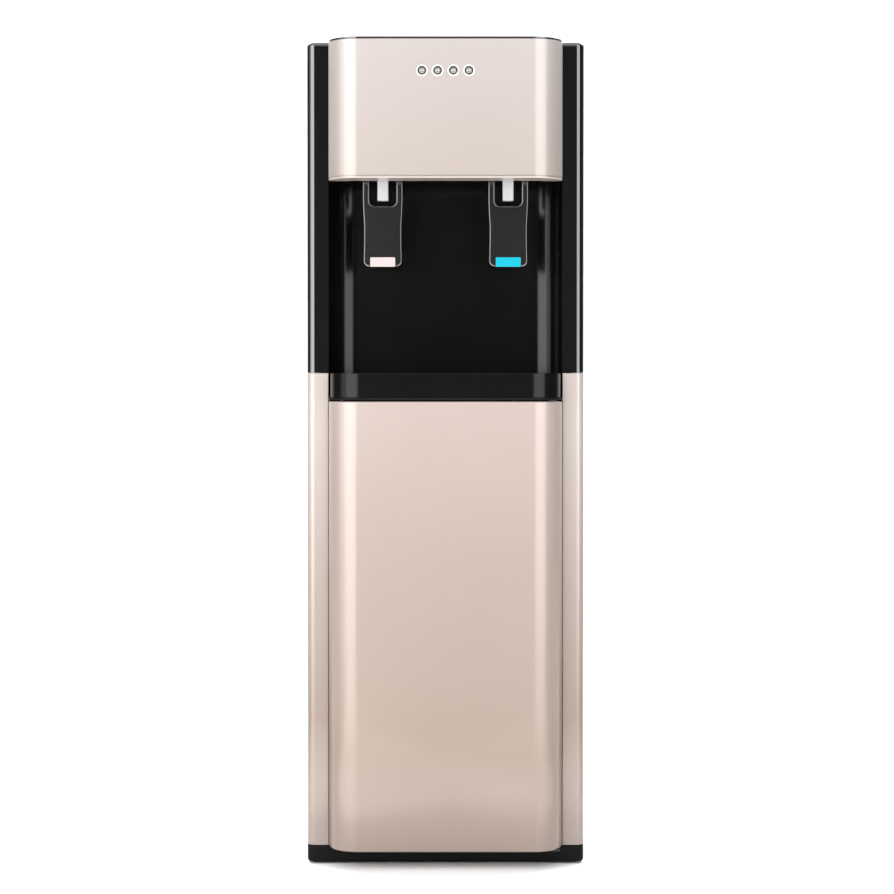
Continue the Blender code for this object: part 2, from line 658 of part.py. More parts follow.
# ---------------------------------------------------------------- rear fittings
def build_rear():
    board = block("control_board", (-0.115, -0.015), (0.1300, 0.1316), (0.780, 0.865))
    chips = (
        ((-0.105, -0.085), (0.1250, 0.1305), (0.800, 0.820)),
        ((-0.070, -0.045), (0.1230, 0.1305), (0.830, 0.850)),
        ((-0.040, -0.025), (0.1270, 0.1305), (0.790, 0.815)),
    )
    for i, (x, y, z) in enumerate(chips):
        fuse(board, block(f"piece_chip_{i}", x, y, z))
    finish_object(board, "board_green")

    for name, x, finish in (("hot", 0.100, "red_plastic"), ("cold", 0.066, "blue_plastic")):
        pivot_y, z = 0.1545, 0.700
        face = arc((pivot_y, z), 0.0102, -41, 41, 8)
        outline = [(pivot_y - 0.003, z - 0.0040), *face, (pivot_y - 0.003, z + 0.0040)]
        rocker = prism(f"{name}_switch", outline, x - 0.0098, x + 0.0098, "X")
        finish_object(rocker, finish, (x, pivot_y, z))

    inlet = block("power_inlet", (-0.1040, -0.0760), (0.1480, 0.1645), (0.0750, 0.0950))
    cut(inlet, block("cutter_inlet_well", (-0.1010, -0.0790), (0.1520, 0.18), (0.0780, 0.0920)))
    for i, x in enumerate((-0.0955, -0.0900, -0.0845)):
        fuse(inlet, block(f"piece_blade_{i}", (x - 0.0010, x + 0.0010), (0.1500, 0.1620), (0.0825, 0.0875)))
    finish_object(inlet, "satin_black")

    fitting = lathe("water_inlet_fitting", ((0.0110, -0.0140), (0.0110, -0.0010)), (0.10, BACK_Y, 0.085), "Y")
    cut(fitting, cylinder("cutter_fitting", (0.10, BACK_Y, 0.085), 0.0048, -0.0090, 0.01, "Y", 16))
    finish_object(fitting, "blue_plastic")

    cap = lathe("drain_cap", ((0.0110, -0.0140), (0.0110, -0.0030)), (0.05, BACK_Y, 0.085), "Y", 16)
    fuse(cap, block("piece_cap_grip", (0.0485, 0.0515), (BACK_Y - 0.0060, BACK_Y - 0.0005), (0.0775, 0.0925)))
    finish_object(cap, "red_plastic", (0.05, BACK_Y - 0.0030, 0.085))


clear_scene()
build_base()
build_side("left", -1)
build_side("right", 1)
build_covers()
build_head()
build_niche()
build_tray()
build_door()
build_cabinet()
build_tap("hot", -1, "warm_white")
build_tap("cold", 1, "cyan")
build_tanks()
build_cooling()
build_rear()
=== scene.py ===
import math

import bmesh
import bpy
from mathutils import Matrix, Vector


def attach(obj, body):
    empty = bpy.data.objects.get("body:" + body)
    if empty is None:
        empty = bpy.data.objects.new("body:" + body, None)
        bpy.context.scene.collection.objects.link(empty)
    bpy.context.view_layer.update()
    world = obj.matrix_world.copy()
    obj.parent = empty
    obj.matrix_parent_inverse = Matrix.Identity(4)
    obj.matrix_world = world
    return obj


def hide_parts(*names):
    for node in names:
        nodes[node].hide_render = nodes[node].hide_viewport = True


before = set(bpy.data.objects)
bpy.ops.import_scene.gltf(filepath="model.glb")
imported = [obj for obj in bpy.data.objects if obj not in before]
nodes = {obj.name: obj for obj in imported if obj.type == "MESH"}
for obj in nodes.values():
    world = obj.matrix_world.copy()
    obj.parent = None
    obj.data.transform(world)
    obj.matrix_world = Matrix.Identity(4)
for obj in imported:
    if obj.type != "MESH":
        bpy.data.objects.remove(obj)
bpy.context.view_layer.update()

# %% [markdown]
# # A floor-standing hot and cold water dispenser
# The frame loaded above is the measured machine: every joint, every hidden part, every size.
# This lesson dresses it. Each part that a visitor sees is modelled again with softer edges and
# finer curves, and it rides on the same moving body as the part it stands for.
# Metres everywhere; X runs to the right, Y to the back, Z up, and the front faces -Y.

FRONT_Y = -0.165
COLUMN_Y = -0.129
BACK_Y = 0.165
HALF_WIDTH = 0.160
BAY_HALF = 0.1345
BULGE_RADIUS = 0.0350
SHEET = 0.0025
HEIGHT = 0.950
COLOUR_SPLIT = 0.5685
FRONT_CORNER, REAR_CORNER = 0.009, 0.006
TAP_X = 0.0725
LIGHT_Z = 0.9114
LIGHT_PITCH = 0.0178
PORT_Z, WATER_X, DRAIN_X, MAINS_X = 0.085, 0.10, 0.05, -0.090

# %% [markdown]
# ## The camera
# The machine is looked at square on, from a little above its middle. The camera is tilted by less
# than a degree, which keeps the uprights all but parallel, and a small lens shift centres the
# picture. A long lens from more than two metres away keeps the bowed front from swelling.

# %% Camera
CAMERA_DISTANCE = 2.364
CAMERA_HEIGHT = 0.5653
CAMERA_TILT = math.radians(0.872)
camera_data = bpy.data.cameras.new("camera")
camera_data.lens = 82.52
camera_data.sensor_width = 36.0
camera_data.shift_x = 0.0017
camera_data.shift_y = -0.045
camera = bpy.data.objects.new("camera", camera_data)
camera.location = (0.0, COLUMN_Y - CAMERA_DISTANCE, CAMERA_HEIGHT)
camera.rotation_euler = (math.radians(90) - CAMERA_TILT, 0.0, 0.0)
bpy.context.scene.collection.objects.link(camera)
bpy.context.scene.camera = camera
bpy.context.scene.view_settings.view_transform = "Standard"
print("camera at", tuple(round(v, 3) for v in camera.location))

# %% [markdown]
# ## Selecting and shaping by hand, in code
# At the keyboard one clicks an edge and presses a key. Here a small test picks the edges, such as
# "both ends are at the top", and then the very same operator runs on them.
# Everything is deselected first, because an operator works on all that is selected.

# %% Helpers for modelling
def close(a, b, within=1e-5):
    return abs(a - b) < within


def only(piece):
    bpy.ops.object.select_all(action="DESELECT")
    piece.select_set(True)
    bpy.context.view_layer.objects.active = piece


def begin(piece, kind):
    only(piece)
    bpy.ops.object.mode_set(mode="EDIT")
    bpy.ops.mesh.select_mode(type=kind)
    bpy.ops.mesh.select_all(action="DESELECT")
    return bmesh.from_edit_mesh(piece.data)


def end():
    bpy.ops.object.mode_set(mode="OBJECT")


def pick_edges(piece, test):
    work = begin(piece, "EDGE")
    chosen = [edge for edge in work.edges if test(edge.verts[0].co, edge.verts[1].co)]
    for edge in chosen:
        edge.select_set(True)
    bmesh.update_edit_mesh(piece.data)
    return len(chosen)


def pick_faces(piece, test):
    work = begin(piece, "FACE")
    chosen = [face for face in work.faces if test(face.calc_center_median(), face.normal)]
    for face in chosen:
        face.select_set(True)
    bmesh.update_edit_mesh(piece.data)
    return len(chosen)


def everything(*parts):
    return True


def upright(a, b):
    """An edge that stands straight up."""
    return close(a.x, b.x) and close(a.y, b.y)


def fore_and_aft(a, b):
    """An edge that runs straight from front to back."""
    return close(a.x, b.x) and close(a.z, b.z)


def level_at(z):
    """Edges that lie at one height."""
    return lambda a, b: close(a.z, z) and close(b.z, z)


def runs_back_at(z):
    """Edges at one height that run from front to back."""
    return lambda a, b: close(a.z, z) and close(b.z, z) and close(a.x, b.x)


def corners_at(y):
    """Edges at one depth that stand up."""
    return lambda a, b: close(a.y, y) and close(b.y, y) and close(a.x, b.x)


def start_block(name, low, high):
    """A cube primitive, added at its size and place."""
    bpy.ops.object.select_all(action="DESELECT")
    middle = [(a + b) / 2 for a, b in zip(low, high)]
    bpy.ops.mesh.primitive_cube_add(size=1, location=middle, scale=[b - a for a, b in zip(low, high)])
    piece = bpy.context.object
    piece.name = name
    bpy.ops.object.transform_apply(location=True, rotation=True, scale=True)
    return piece


def start_rod(name, centre, radius, depth, axis="Z", sides=48):
    bpy.ops.object.select_all(action="DESELECT")
    turn = {"Z": (0, 0, 0), "Y": (math.pi / 2, 0, 0), "X": (0, math.pi / 2, 0)}[axis]
    bpy.ops.mesh.primitive_cylinder_add(
        vertices=sides, radius=radius, depth=depth, location=centre, rotation=turn
    )
    piece = bpy.context.object
    piece.name = name
    bpy.ops.object.transform_apply(location=True, rotation=True, scale=True)
    return piece


def round_edges(piece, test, width, segments):
    if pick_edges(piece, test):
        bpy.ops.mesh.bevel(offset=width, segments=segments, profile=0.5, affect="EDGES", clamp_overlap=True)
    end()


def rounded_block(name, low, high, test, width, segments):
    piece = start_block(name, low, high)
    round_edges(piece, test, width, segments)
    return piece


def delete_faces(piece, test):
    pick_faces(piece, test)
    bpy.ops.mesh.delete(type="FACE")
    end()


def cut_across(piece, *heights):
    """Cut edges across the whole piece at each height."""
    for z in heights:
        pick_faces(piece, everything)
        bpy.ops.mesh.bisect(plane_co=(0, 0, z), plane_no=(0, 0, 1))
        end()


def sink(border, slope, depth):
    """Inset the picked face twice and push its middle along Y, for a border with a sloped step."""
    bpy.ops.mesh.inset(thickness=border)
    bpy.ops.mesh.inset(thickness=slope)
    bpy.ops.transform.translate(value=(0, depth, 0))


def apply_modifier(piece, kind, **settings):
    only(piece)
    modifier = piece.modifiers.new(kind.lower(), kind)
    for key, value in settings.items():
        setattr(modifier, key, value)
    bpy.ops.object.modifier_apply(modifier=modifier.name)


def give_wall(piece, thickness=SHEET):
    """Turn an open skin into a wall that grows inwards."""
    apply_modifier(piece, "SOLIDIFY", thickness=thickness, offset=-1.0, use_even_offset=True)


def repeat(piece, count, step):
    """A row of the same piece, one step apart."""
    apply_modifier(
        piece, "ARRAY", count=count, use_relative_offset=False, use_constant_offset=True,
        constant_offset_displace=step
    )


def take_away(piece, cutter):
    apply_modifier(piece, "BOOLEAN", operation="DIFFERENCE", solver="EXACT", object=cutter)
    bpy.data.objects.remove(cutter, do_unlink=True)


def join_on(piece, other):
    apply_modifier(piece, "BOOLEAN", operation="UNION", solver="EXACT", object=other)
    bpy.data.objects.remove(other, do_unlink=True)


def soften(piece, width=0.0004, segments=2, angle=40):
    """A small round on every remaining sharp edge."""
    apply_modifier(
        piece, "BEVEL", width=width, segments=segments, limit_method="ANGLE",
        angle_limit=math.radians(angle), use_clamp_overlap=True, harden_normals=False
    )


def smooth(piece, angle=32):
    """Smooth shading, with flat faces kept flat by weighing normals by area."""
    only(piece)
    bpy.ops.object.shade_smooth_by_angle(angle=math.radians(angle))
    apply_modifier(piece, "WEIGHTED_NORMAL", mode="FACE_AREA", weight=80, keep_sharp=True)


def spin_profile(name, profile, centre, axis="Z", steps=48):
    """Model a half outline as a chain of points and spin it a full turn round an axis."""
    bpy.ops.object.select_all(action="DESELECT")
    along = {"Z": Vector((0, 0, 1)), "Y": Vector((0, 1, 0)), "X": Vector((1, 0, 0))}[axis]
    across = {"Z": Vector((1, 0, 0)), "Y": Vector((1, 0, 0)), "X": Vector((0, 1, 0))}[axis]
    centre = Vector(centre)
    bpy.ops.mesh.primitive_plane_add(size=0.01, location=(0, 0, 0))
    piece = bpy.context.object
    piece.name = name
    bpy.ops.object.mode_set(mode="EDIT")
    bpy.ops.mesh.select_all(action="SELECT")
    bpy.ops.mesh.delete(type="VERT")
    work = bmesh.from_edit_mesh(piece.data)
    chain = [work.verts.new(centre + across * radius + along * height) for radius, height in profile]
    for a, b in zip(chain, chain[1:]):
        work.edges.new((a, b))
    bmesh.update_edit_mesh(piece.data)
    bpy.ops.mesh.select_all(action="SELECT")
    bpy.ops.mesh.spin(steps=steps, angle=math.tau, center=centre, axis=along, dupli=False)
    bpy.ops.mesh.select_all(action="SELECT")
    bpy.ops.mesh.remove_doubles(threshold=1e-6)
    bpy.ops.mesh.select_all(action="SELECT")
    bpy.ops.mesh.normals_make_consistent(inside=False)
    end()
    return piece


def copy_of(piece, name, move):
    """A copy with a mesh of its own, moved in its mesh."""
    made = piece.copy()
    made.data = piece.data.copy()
    made.name = name
    bpy.context.scene.collection.objects.link(made)
    for vertex in made.data.vertices:
        vertex.co += Vector(move)
    return made


print("helpers ready")

# %% [markdown]
# ## Shared surface effects
# Moulded plastic and sprayed paint are never perfectly smooth. One group of shader nodes gives a
# fine grain as a bump, another lets the gloss wander a little as it does where hands have wiped,
# and a third lays a trace of dust on faces that look up. Each is built once; the gloss and dust
# groups go into every material and the grain into those given one, each with its own values.

# %% Node groups
def new_group(name, inputs, outputs):
    group = bpy.data.node_groups.new(name, "ShaderNodeTree")
    for label, kind, value in inputs:
        socket = group.interface.new_socket(label, in_out="INPUT", socket_type=kind)
        socket.default_value = value
    for label, kind in outputs:
        group.interface.new_socket(label, in_out="OUTPUT", socket_type=kind)
    return group, group.nodes.new("NodeGroupInput"), group.nodes.new("NodeGroupOutput")


def add_node(tree, kind, **sockets):
    """Add a shader node and set its sockets, whose names are written with underscores."""
    made = tree.nodes.new("ShaderNode" + kind)
    for label, value in sockets.items():
        made.inputs[label.replace("_", " ")].default_value = value
    return made


def add_colour_mix(tree, **ends):
    made = tree.nodes.new("ShaderNodeMix")
    made.data_type = "RGBA"
    for label, colour in ends.items():
        made.inputs[label].default_value = (*colour, 1)
    return made


def add_math(tree, operation, second=0.5):
    made = tree.nodes.new("ShaderNodeMath")
    made.operation = operation
    made.inputs[1].default_value = second
    return made


def wire(tree, *joins):
    """Join sockets; each entry is a node, its output, the next node and its input."""
    for source, out_label, target, in_label in joins:
        tree.links.new(source.outputs[out_label], target.inputs[in_label])


def make_grain_group():
    group, given, result = new_group(
        "fine grain",
        [("Scale", "NodeSocketFloat", 900.0), ("Depth", "NodeSocketFloat", 0.1)],
        [("Normal", "NodeSocketVector")],
    )
    place = add_node(group, "TexCoord")
    noise = add_node(group, "TexNoise", Detail=3.0)
    bump = add_node(group, "Bump", Distance=0.0002)
    wire(
        group,
        (place, "Object", noise, "Vector"),
        (given, "Scale", noise, "Scale"),
        (noise, "Fac", bump, "Height"),
        (given, "Depth", bump, "Strength"),
        (bump, "Normal", result, "Normal"),
    )
    return group


def make_wiped_group():
    group, given, result = new_group(
        "wiped gloss",
        [(label, "NodeSocketFloat", value) for label, value in (("Scale", 14.0), ("Low", 0.2), ("High", 0.3))],
        [("Roughness", "NodeSocketFloat")],
    )
    place = add_node(group, "TexCoord")
    noise = add_node(group, "TexNoise", Detail=5.0, Roughness=0.62)
    spread = add_node(group, "MapRange", From_Min=0.3, From_Max=0.7)
    wire(
        group,
        (place, "Object", noise, "Vector"),
        (given, "Scale", noise, "Scale"),
        (noise, "Fac", spread, "Value"),
        (given, "Low", spread, "To Min"),
        (given, "High", spread, "To Max"),
        (spread, "Result", result, "Roughness"),
    )
    return group


def make_dust_group():
    group, given, result = new_group(
        "tone and dust",
        [
            ("Colour", "NodeSocketColor", (0.5, 0.5, 0.5, 1)),
            ("Second", "NodeSocketColor", (0.45, 0.45, 0.45, 1)),
            ("Scale", "NodeSocketFloat", 6.0),
            ("Dust", "NodeSocketFloat", 0.05),
        ],
        [("Colour", "NodeSocketColor")],
    )
    place = add_node(group, "TexCoord")
    broad = add_node(group, "TexNoise", Detail=2.0)
    tone = add_colour_mix(group)
    facing = add_node(group, "NewGeometry")
    split = add_node(group, "SeparateXYZ")
    upward = add_node(group, "MapRange", From_Min=0.75, From_Max=1.0)
    specks = add_node(group, "TexNoise", Scale=260.0, Detail=6.0)
    amount = add_math(group, "MULTIPLY")
    scaled = add_math(group, "MULTIPLY")
    dusted = add_colour_mix(group, B=(0.42, 0.40, 0.37))
    wire(
        group,
        (place, "Object", broad, "Vector"),
        (place, "Object", specks, "Vector"),
        (given, "Scale", broad, "Scale"),
        (broad, "Fac", tone, "Factor"),
        (given, "Colour", tone, "A"),
        (given, "Second", tone, "B"),
        (facing, "Normal", split, "Vector"),
        (split, "Z", upward, "Value"),
        (upward, "Result", amount, 0),
        (specks, "Fac", amount, 1),
        (amount, "Value", scaled, 0),
        (given, "Dust", scaled, 1),
        (scaled, "Value", dusted, "Factor"),
        (tone, "Result", dusted, "A"),
        (dusted, "Result", result, "Colour"),
    )
    return group


GRAIN = make_grain_group()
WIPED = make_wiped_group()
DUST = make_dust_group()
print("node groups:", [g.name for g in (GRAIN, WIPED, DUST)])

# %% [markdown]
# ## Finishes
# A finish is one Principled shader fed by the shared groups: two close tones for the colour, a
# range for the gloss, and a grain. Values that are the same all over, such as metalness or the
# clear coat, sit on the shader's own sockets. A range of gloss stays either above or below 0.27,
# because the cleaning of the render treats the two sides differently and a range across it shows
# as flakes. The rose-gold colour carries painted shade: it is mixed darker low down on the door and
# the lower columns and towards the lower edge of the head, and each of these three has its own copy
# of the paint, lighter or darker in tone for the light it gets. The side walls of the columns have
# less clear coat than their front strips, so that they don't mirror the lights.

# %% Finishes
def painted_shade_by_height(tree, low, high, bottom, top):
    """Painted shade: a colour that is low at the height bottom, and high at top and as far away the other way."""
    place = add_node(tree, "TexCoord")
    split = add_node(tree, "SeparateXYZ")
    shift = add_math(tree, "SUBTRACT", bottom)
    away = add_math(tree, "ABSOLUTE")
    rise = add_node(tree, "MapRange", From_Min=0.0, From_Max=top - bottom)
    mix = add_colour_mix(tree, A=low, B=high)
    wire(
        tree,
        (place, "Object", split, "Vector"),
        (split, "Z", shift, 0),
        (shift, "Value", away, 0),
        (away, "Value", rise, "Value"),
        (rise, "Result", mix, "Factor"),
    )
    return mix.outputs["Result"]


def fade_with_depth(made, label, front, behind):
    """Set one socket to front on the front strip of a column and to behind on its long side wall."""
    tree = made.node_tree
    place = add_node(tree, "TexCoord")
    split = add_node(tree, "SeparateXYZ")
    back = add_node(
        tree, "MapRange", From_Min=COLUMN_Y + 0.006, From_Max=COLUMN_Y + 0.016, To_Min=front, To_Max=behind
    )
    wire(
        tree,
        (place, "Object", split, "Vector"),
        (split, "Y", back, "Value"),
        (back, "Result", tree.nodes["Principled BSDF"], label),
    )


def add_group(tree, group, **sockets):
    made = add_node(tree, "Group")
    made.node_tree = group
    for label, value in sockets.items():
        made.inputs[label].default_value = value
    return made


def finish(
    name, tone, second, gloss, grain=(900.0, 0.08), dust=0.04, patch=6.0,
    shaded_tone=None, fade=(0.10, 0.60), **sockets
):
    made = bpy.data.materials.new(name)
    made.use_nodes = True
    tree = made.node_tree
    shader = tree.nodes["Principled BSDF"]
    for label, value in sockets.items():
        shader.inputs[label.replace("_", " ")].default_value = value
    colour = add_group(tree, DUST, Colour=(*tone, 1), Second=(*second, 1), Scale=patch, Dust=dust)
    # Painted shade: when a darker tone is given, the colour is mixed down to it at the first height of fade and
    # back to the finish's own tone at the second.
    if shaded_tone:
        tree.links.new(painted_shade_by_height(tree, shaded_tone, tone, *fade), colour.inputs["Colour"])
        tree.links.new(painted_shade_by_height(tree, shaded_tone, second, *fade), colour.inputs["Second"])
    rough = add_group(tree, WIPED, Scale=14.0, Low=gloss[0], High=gloss[1])
    wire(tree, (colour, "Colour", shader, "Base Color"), (rough, "Roughness", shader, "Roughness"))
    if grain:
        skin = add_group(tree, GRAIN, Scale=grain[0], Depth=grain[1])
        wire(tree, (skin, "Normal", shader, "Normal"))
    return made


def even(value):
    """A neutral colour."""
    return (value, value, value)


SPRAYED = dict(gloss=(0.29, 0.31), grain=None, dust=0.0, Metallic=0.22, Coat_Roughness=0.10)
# Door rose gold with painted shade: darkest at 0.13 m, its own tone from 0.53 m up, and a little lighter again
# below 0.13 m.
ROSE = finish(
    "rose gold paint", (0.322, 0.264, 0.241), (0.316, 0.259, 0.236),
    shaded_tone=(0.172, 0.126, 0.098), fade=(0.13, 0.53), Coat_Weight=0.35, **SPRAYED
)
# Lower columns: the same rose gold in a lighter tone than the door's, which is painted light, with painted shade
# darkest at 0.17 m and gone from 0.50 m up.
ROSE_SIDE_SHADED = finish(
    "rose gold paint, sides, painted light and shade", (0.350, 0.305, 0.282), (0.344, 0.300, 0.277),
    shaded_tone=(0.168, 0.126, 0.101), fade=(0.17, 0.50), Coat_Weight=0.15, **SPRAYED
)
# Head: the same rose gold in a tone of its own, which is painted light, with painted shade darkest at the head's
# lower edge at 0.79 m.
ROSE_HEAD_SHADED = finish(
    "rose gold paint, head, painted light and shade", (0.358, 0.322, 0.311), (0.352, 0.316, 0.305),
    shaded_tone=(0.318, 0.274, 0.249), fade=(0.79, 0.95), Coat_Weight=0.35, **SPRAYED
)
BLACK_GLOSS = finish(
    "gloss black", even(0.002), even(0.0025), (0.08, 0.11), None, 0.02,
    Specular_IOR_Level=0.4, Coat_Weight=0.9, Coat_Roughness=0.04, Coat_IOR=2.0
)
for made, label, front, behind in (
    (BLACK_GLOSS, "Coat Weight", 0.9, 0.10),
    (BLACK_GLOSS, "Specular IOR Level", 0.4, 0.2),
    (ROSE_SIDE_SHADED, "Coat Weight", 0.15, 0.0),
):
    fade_with_depth(made, label, front, behind)
NICHE_GLOSS = finish(
    "niche gloss black", even(0.002), even(0.0025), (0.15, 0.18), None, 0.0, Specular_IOR_Level=0.36
)
TRAY_GLOSS = finish(
    "tray gloss black", even(0.002), even(0.0025), (0.18, 0.21), None, 0.0, Specular_IOR_Level=0.25
)
DEEP_BLACK = finish("deep black", even(0.002), even(0.003), (0.50, 0.60), dust=0.0, Specular_IOR_Level=0.10)
LEVER_PLASTIC = finish(
    "lever plastic", even(0.006), even(0.007), (0.14, 0.18), None, 0.0,
    Specular_IOR_Level=0.6, Coat_Weight=0.85, Coat_Roughness=0.10, Coat_IOR=2.0
)
BLACK_SATIN = finish(
    "satin black", even(0.006), even(0.008), (0.42, 0.52), (900.0, 0.10), 0.03, Specular_IOR_Level=0.2
)
BLACK_ENAMEL = finish(
    "textured enamel", even(0.010), even(0.013), (0.34, 0.44), (700.0, 0.25), 0.05, Specular_IOR_Level=0.4
)
BLACK_PAINT = finish("black enamel", even(0.010), even(0.015), (0.30, 0.42), (350.0, 0.2), 0.15)
RUBBER = finish("rubber", even(0.014), (0.022, 0.021, 0.020), (0.75, 0.9), (1200.0, 0.4), 0.10)
GREY = finish("graphite plastic", even(0.011), even(0.013), (0.285, 0.33), (1300.0, 0.08), 0.03)
WHITE = finish("off-white plastic", (0.50, 0.50, 0.48), (0.47, 0.47, 0.45), (0.34, 0.44), (900.0, 0.12), 0.04)
WARM = finish("warm white insert", (0.35, 0.30, 0.295), (0.36, 0.31, 0.305), (0.285, 0.32), (800.0, 0.04), 0.0)
CYAN = finish("cyan insert", (0.003, 0.245, 0.32), (0.004, 0.26, 0.34), (0.16, 0.24), (800.0, 0.04), 0.0)
NOZZLE = finish("satin nickel", even(0.42), (0.40, 0.40, 0.41), (0.34, 0.42), None, 0.0, Metallic=0.25)
STEEL = finish(
    "zinc plate", (0.56, 0.57, 0.58), (0.44, 0.45, 0.46), (0.25, 0.45), (700.0, 0.12), 0.02, 60.0, Metallic=1.0
)
BLUED = finish("blued steel", (0.010, 0.010, 0.011), (0.014, 0.014, 0.015), (0.35, 0.45), (700.0, 0.1), 0.0)
TANK = finish(
    "drawn steel", (0.62, 0.62, 0.63), (0.55, 0.55, 0.56), (0.22, 0.36), (260.0, 0.08), 0.03, Metallic=1.0
)
FOAM = finish(
    "insulation foam", (0.58, 0.58, 0.56), (0.48, 0.49, 0.49), (0.85, 0.95), (420.0, 0.8), 0.05, 240.0
)
BOARD = finish(
    "circuit board", (0.012, 0.12, 0.045), (0.02, 0.17, 0.06), (0.3, 0.45), (600.0, 0.3), 0.02, 90.0
)
LENS = finish(
    "silvered lens", (0.30, 0.30, 0.29), even(0.22), (0.16, 0.22), (900.0, 0.05), 0.0, Metallic=0.6
)
TRIM = finish("pearl trim", (0.60, 0.56, 0.54), (0.57, 0.53, 0.51), (0.29, 0.33), None, 0.0, Metallic=0.2)
BLUE = finish("blue plastic", (0.03, 0.14, 0.46), (0.04, 0.17, 0.50), (0.28, 0.38), (900.0, 0.1), 0.03)
RED = finish("red plastic", (0.46, 0.02, 0.015), (0.52, 0.03, 0.02), (0.28, 0.38), (900.0, 0.1), 0.03)
HOSE = finish("silicone hose", (0.50, 0.51, 0.50), (0.45, 0.46, 0.45), (0.3, 0.42), (500.0, 0.1), 0.04)


def paint(piece, material):
    piece.data.materials.clear()
    piece.data.materials.append(material)


def dress(piece, material, body="cabinet"):
    """Paint a piece that has no solid of its own and let it ride on a body."""
    paint(piece, material)
    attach(piece, body)


def stands_for(piece, material, slot, body, *cad_nodes):
    """Paint the piece, let it ride on its body and stand for the CAD nodes."""
    paint(piece, material)
    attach(piece, body)
    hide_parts(*cad_nodes)


print("finishes:", len(bpy.data.materials))

# %% [markdown]
# ## The bowed front
# Head, drip tray and door share one plan: a flat front whose two upright corners are quarter
# circles that run straight into the side columns. Each starts as a block. Bevelling its two front
# uprights by the full corner radius gives the bow; the back face is then deleted and Solidify
# gives the moulding its wall.

# %% A bowed block
BOW_STEPS = 28


def bowed_block(name, half, back, low, high):
    low_corner, high_corner = (-half, FRONT_Y, low), (half, back, high)
    return rounded_block(name, low_corner, high_corner, corners_at(FRONT_Y), BULGE_RADIUS, BOW_STEPS)


def ring_at(z, back):
    """Edges at one height, but not those along the back."""
    return lambda a, b: close(a.z, z) and close(b.z, z) and min(a.y, b.y) < back - 1e-5


# %% [markdown]
# ## Head panel
# The head is a deep moulding with a rounded lip below and four holes for the indicators. A fine
# groove sets the lip off: two bisects mark a narrow band round the outside, and the band is
# extruded inwards along its own normals.

# %% Head panel
HEAD_BOTTOM = 0.7895
HEAD_TOP = 0.9472
HEAD_BACK = COLUMN_Y + 0.0022
GROOVE_LOW, GROOVE_HIGH, GROOVE_DEPTH = 0.7917, 0.7929, 0.0009
SKIN = 0.0005
head = bowed_block("head_panel", BAY_HALF, HEAD_BACK, HEAD_BOTTOM, HEAD_TOP)
round_edges(head, ring_at(HEAD_BOTTOM, HEAD_BACK), 0.0016, 4)
delete_faces(head, lambda c, n: close(c.y, HEAD_BACK) or close(c.z, HEAD_TOP))
give_wall(head)
take_away(head, start_block("mouth", (-0.110, -0.1295, 0.780), (0.110, -0.10, 0.7930)))
LIGHT_X = [(index - 1.5) * LIGHT_PITCH for index in range(4)]
LIGHT_HOLE = 0.0056
for x in LIGHT_X:
    take_away(head, start_rod("hole", (x, FRONT_Y, LIGHT_Z), LIGHT_HOLE, 0.02, "Y"))


def on_outer_skin(c, n):
    if not GROOVE_LOW < c.z < GROOVE_HIGH:
        return False
    across, along = abs(c.x) - (BAY_HALF - BULGE_RADIUS), (FRONT_Y + BULGE_RADIUS) - c.y
    if across > 0 and along > 0:
        return math.hypot(across, along) > BULGE_RADIUS - SKIN
    return max(across, along) > BULGE_RADIUS - SKIN


cut_across(head, GROOVE_LOW, GROOVE_HIGH)
band = pick_faces(head, on_outer_skin)
bpy.ops.mesh.extrude_region_shrink_fatten(TRANSFORM_OT_shrink_fatten={"value": -GROOVE_DEPTH})
end()
print("faces in the groove:", band, "head width:", round(head.dimensions.x, 4))
smooth(head)
stands_for(head, ROSE_HEAD_SHADED, "rose_gold", "cabinet", "head_front_panel")
print("head faces:", len(head.data.polygons))

# %% [markdown]
# ## Indicators
# Each indicator is a dark ring with a silvered, slightly domed lens inside it and a bright trim
# ring round it. A half outline spun round its axis makes each in one go.

# %% Indicators
BEZEL_PROFILE = (
    (0.0040, 0.0004), (0.0042, 0.0000), (0.0047, -0.0002), (0.0052, 0.0004), (0.0052, 0.0030),
    (0.0041, 0.0032), (0.0041, 0.0095), (0.0036, 0.0095), (0.0036, 0.0014), (0.0040, 0.0004),
)
LENS_PROFILE = (
    (0.0, 0.0009), (0.0007, 0.0008), (0.0014, 0.0003), (0.0024, 0.0001), (0.0032, 0.0004),
    (0.0038, 0.0012), (0.0036, 0.0016), (0.0035, 0.0030), (0.0, 0.0030),
)
TRIM_PROFILE = (
    (0.0050, 0.0005), (0.0051, -0.0003), (0.0055, -0.0006), (0.0061, -0.0005), (0.0066, -0.0001),
    (0.0066, 0.0003), (0.0050, 0.0005),
)
for number, x in enumerate(LIGHT_X, 1):
    place = (x, FRONT_Y, LIGHT_Z)
    bezel = spin_profile(f"indicator_bezel_{number}", BEZEL_PROFILE, place, "Y", 40)
    lens = spin_profile(f"indicator_lens_{number}", LENS_PROFILE, place, "Y", 32)
    trim = spin_profile(f"indicator_trim_{number}", TRIM_PROFILE, place, "Y", 48)
    for piece in (bezel, lens, trim):
        smooth(piece, 40)
    stands_for(bezel, GREY, "dark_grey", "cabinet", f"indicator_light_{number}")
    dress(lens, LENS)
    dress(trim, TRIM)
print("indicators at z", LIGHT_Z)

# %% [markdown]
# ## Top cover
# A thin gloss-black plate with the same bowed front closes the head. Only its edge is seen from
# the front, as a fine dark line.

# %% Top cover
COVER_BOTTOM = 0.9475
cover = bowed_block("top_plate", BAY_HALF, BACK_Y, COVER_BOTTOM, HEIGHT)
round_edges(cover, ring_at(HEIGHT, 1.0), 0.0009, 3)
round_edges(cover, ring_at(COVER_BOTTOM, 1.0), 0.0003, 1)
smooth(cover)
stands_for(cover, BLACK_GLOSS, "gloss_black", "cabinet", "top_cover")
print("top plate faces:", len(cover.data.polygons))

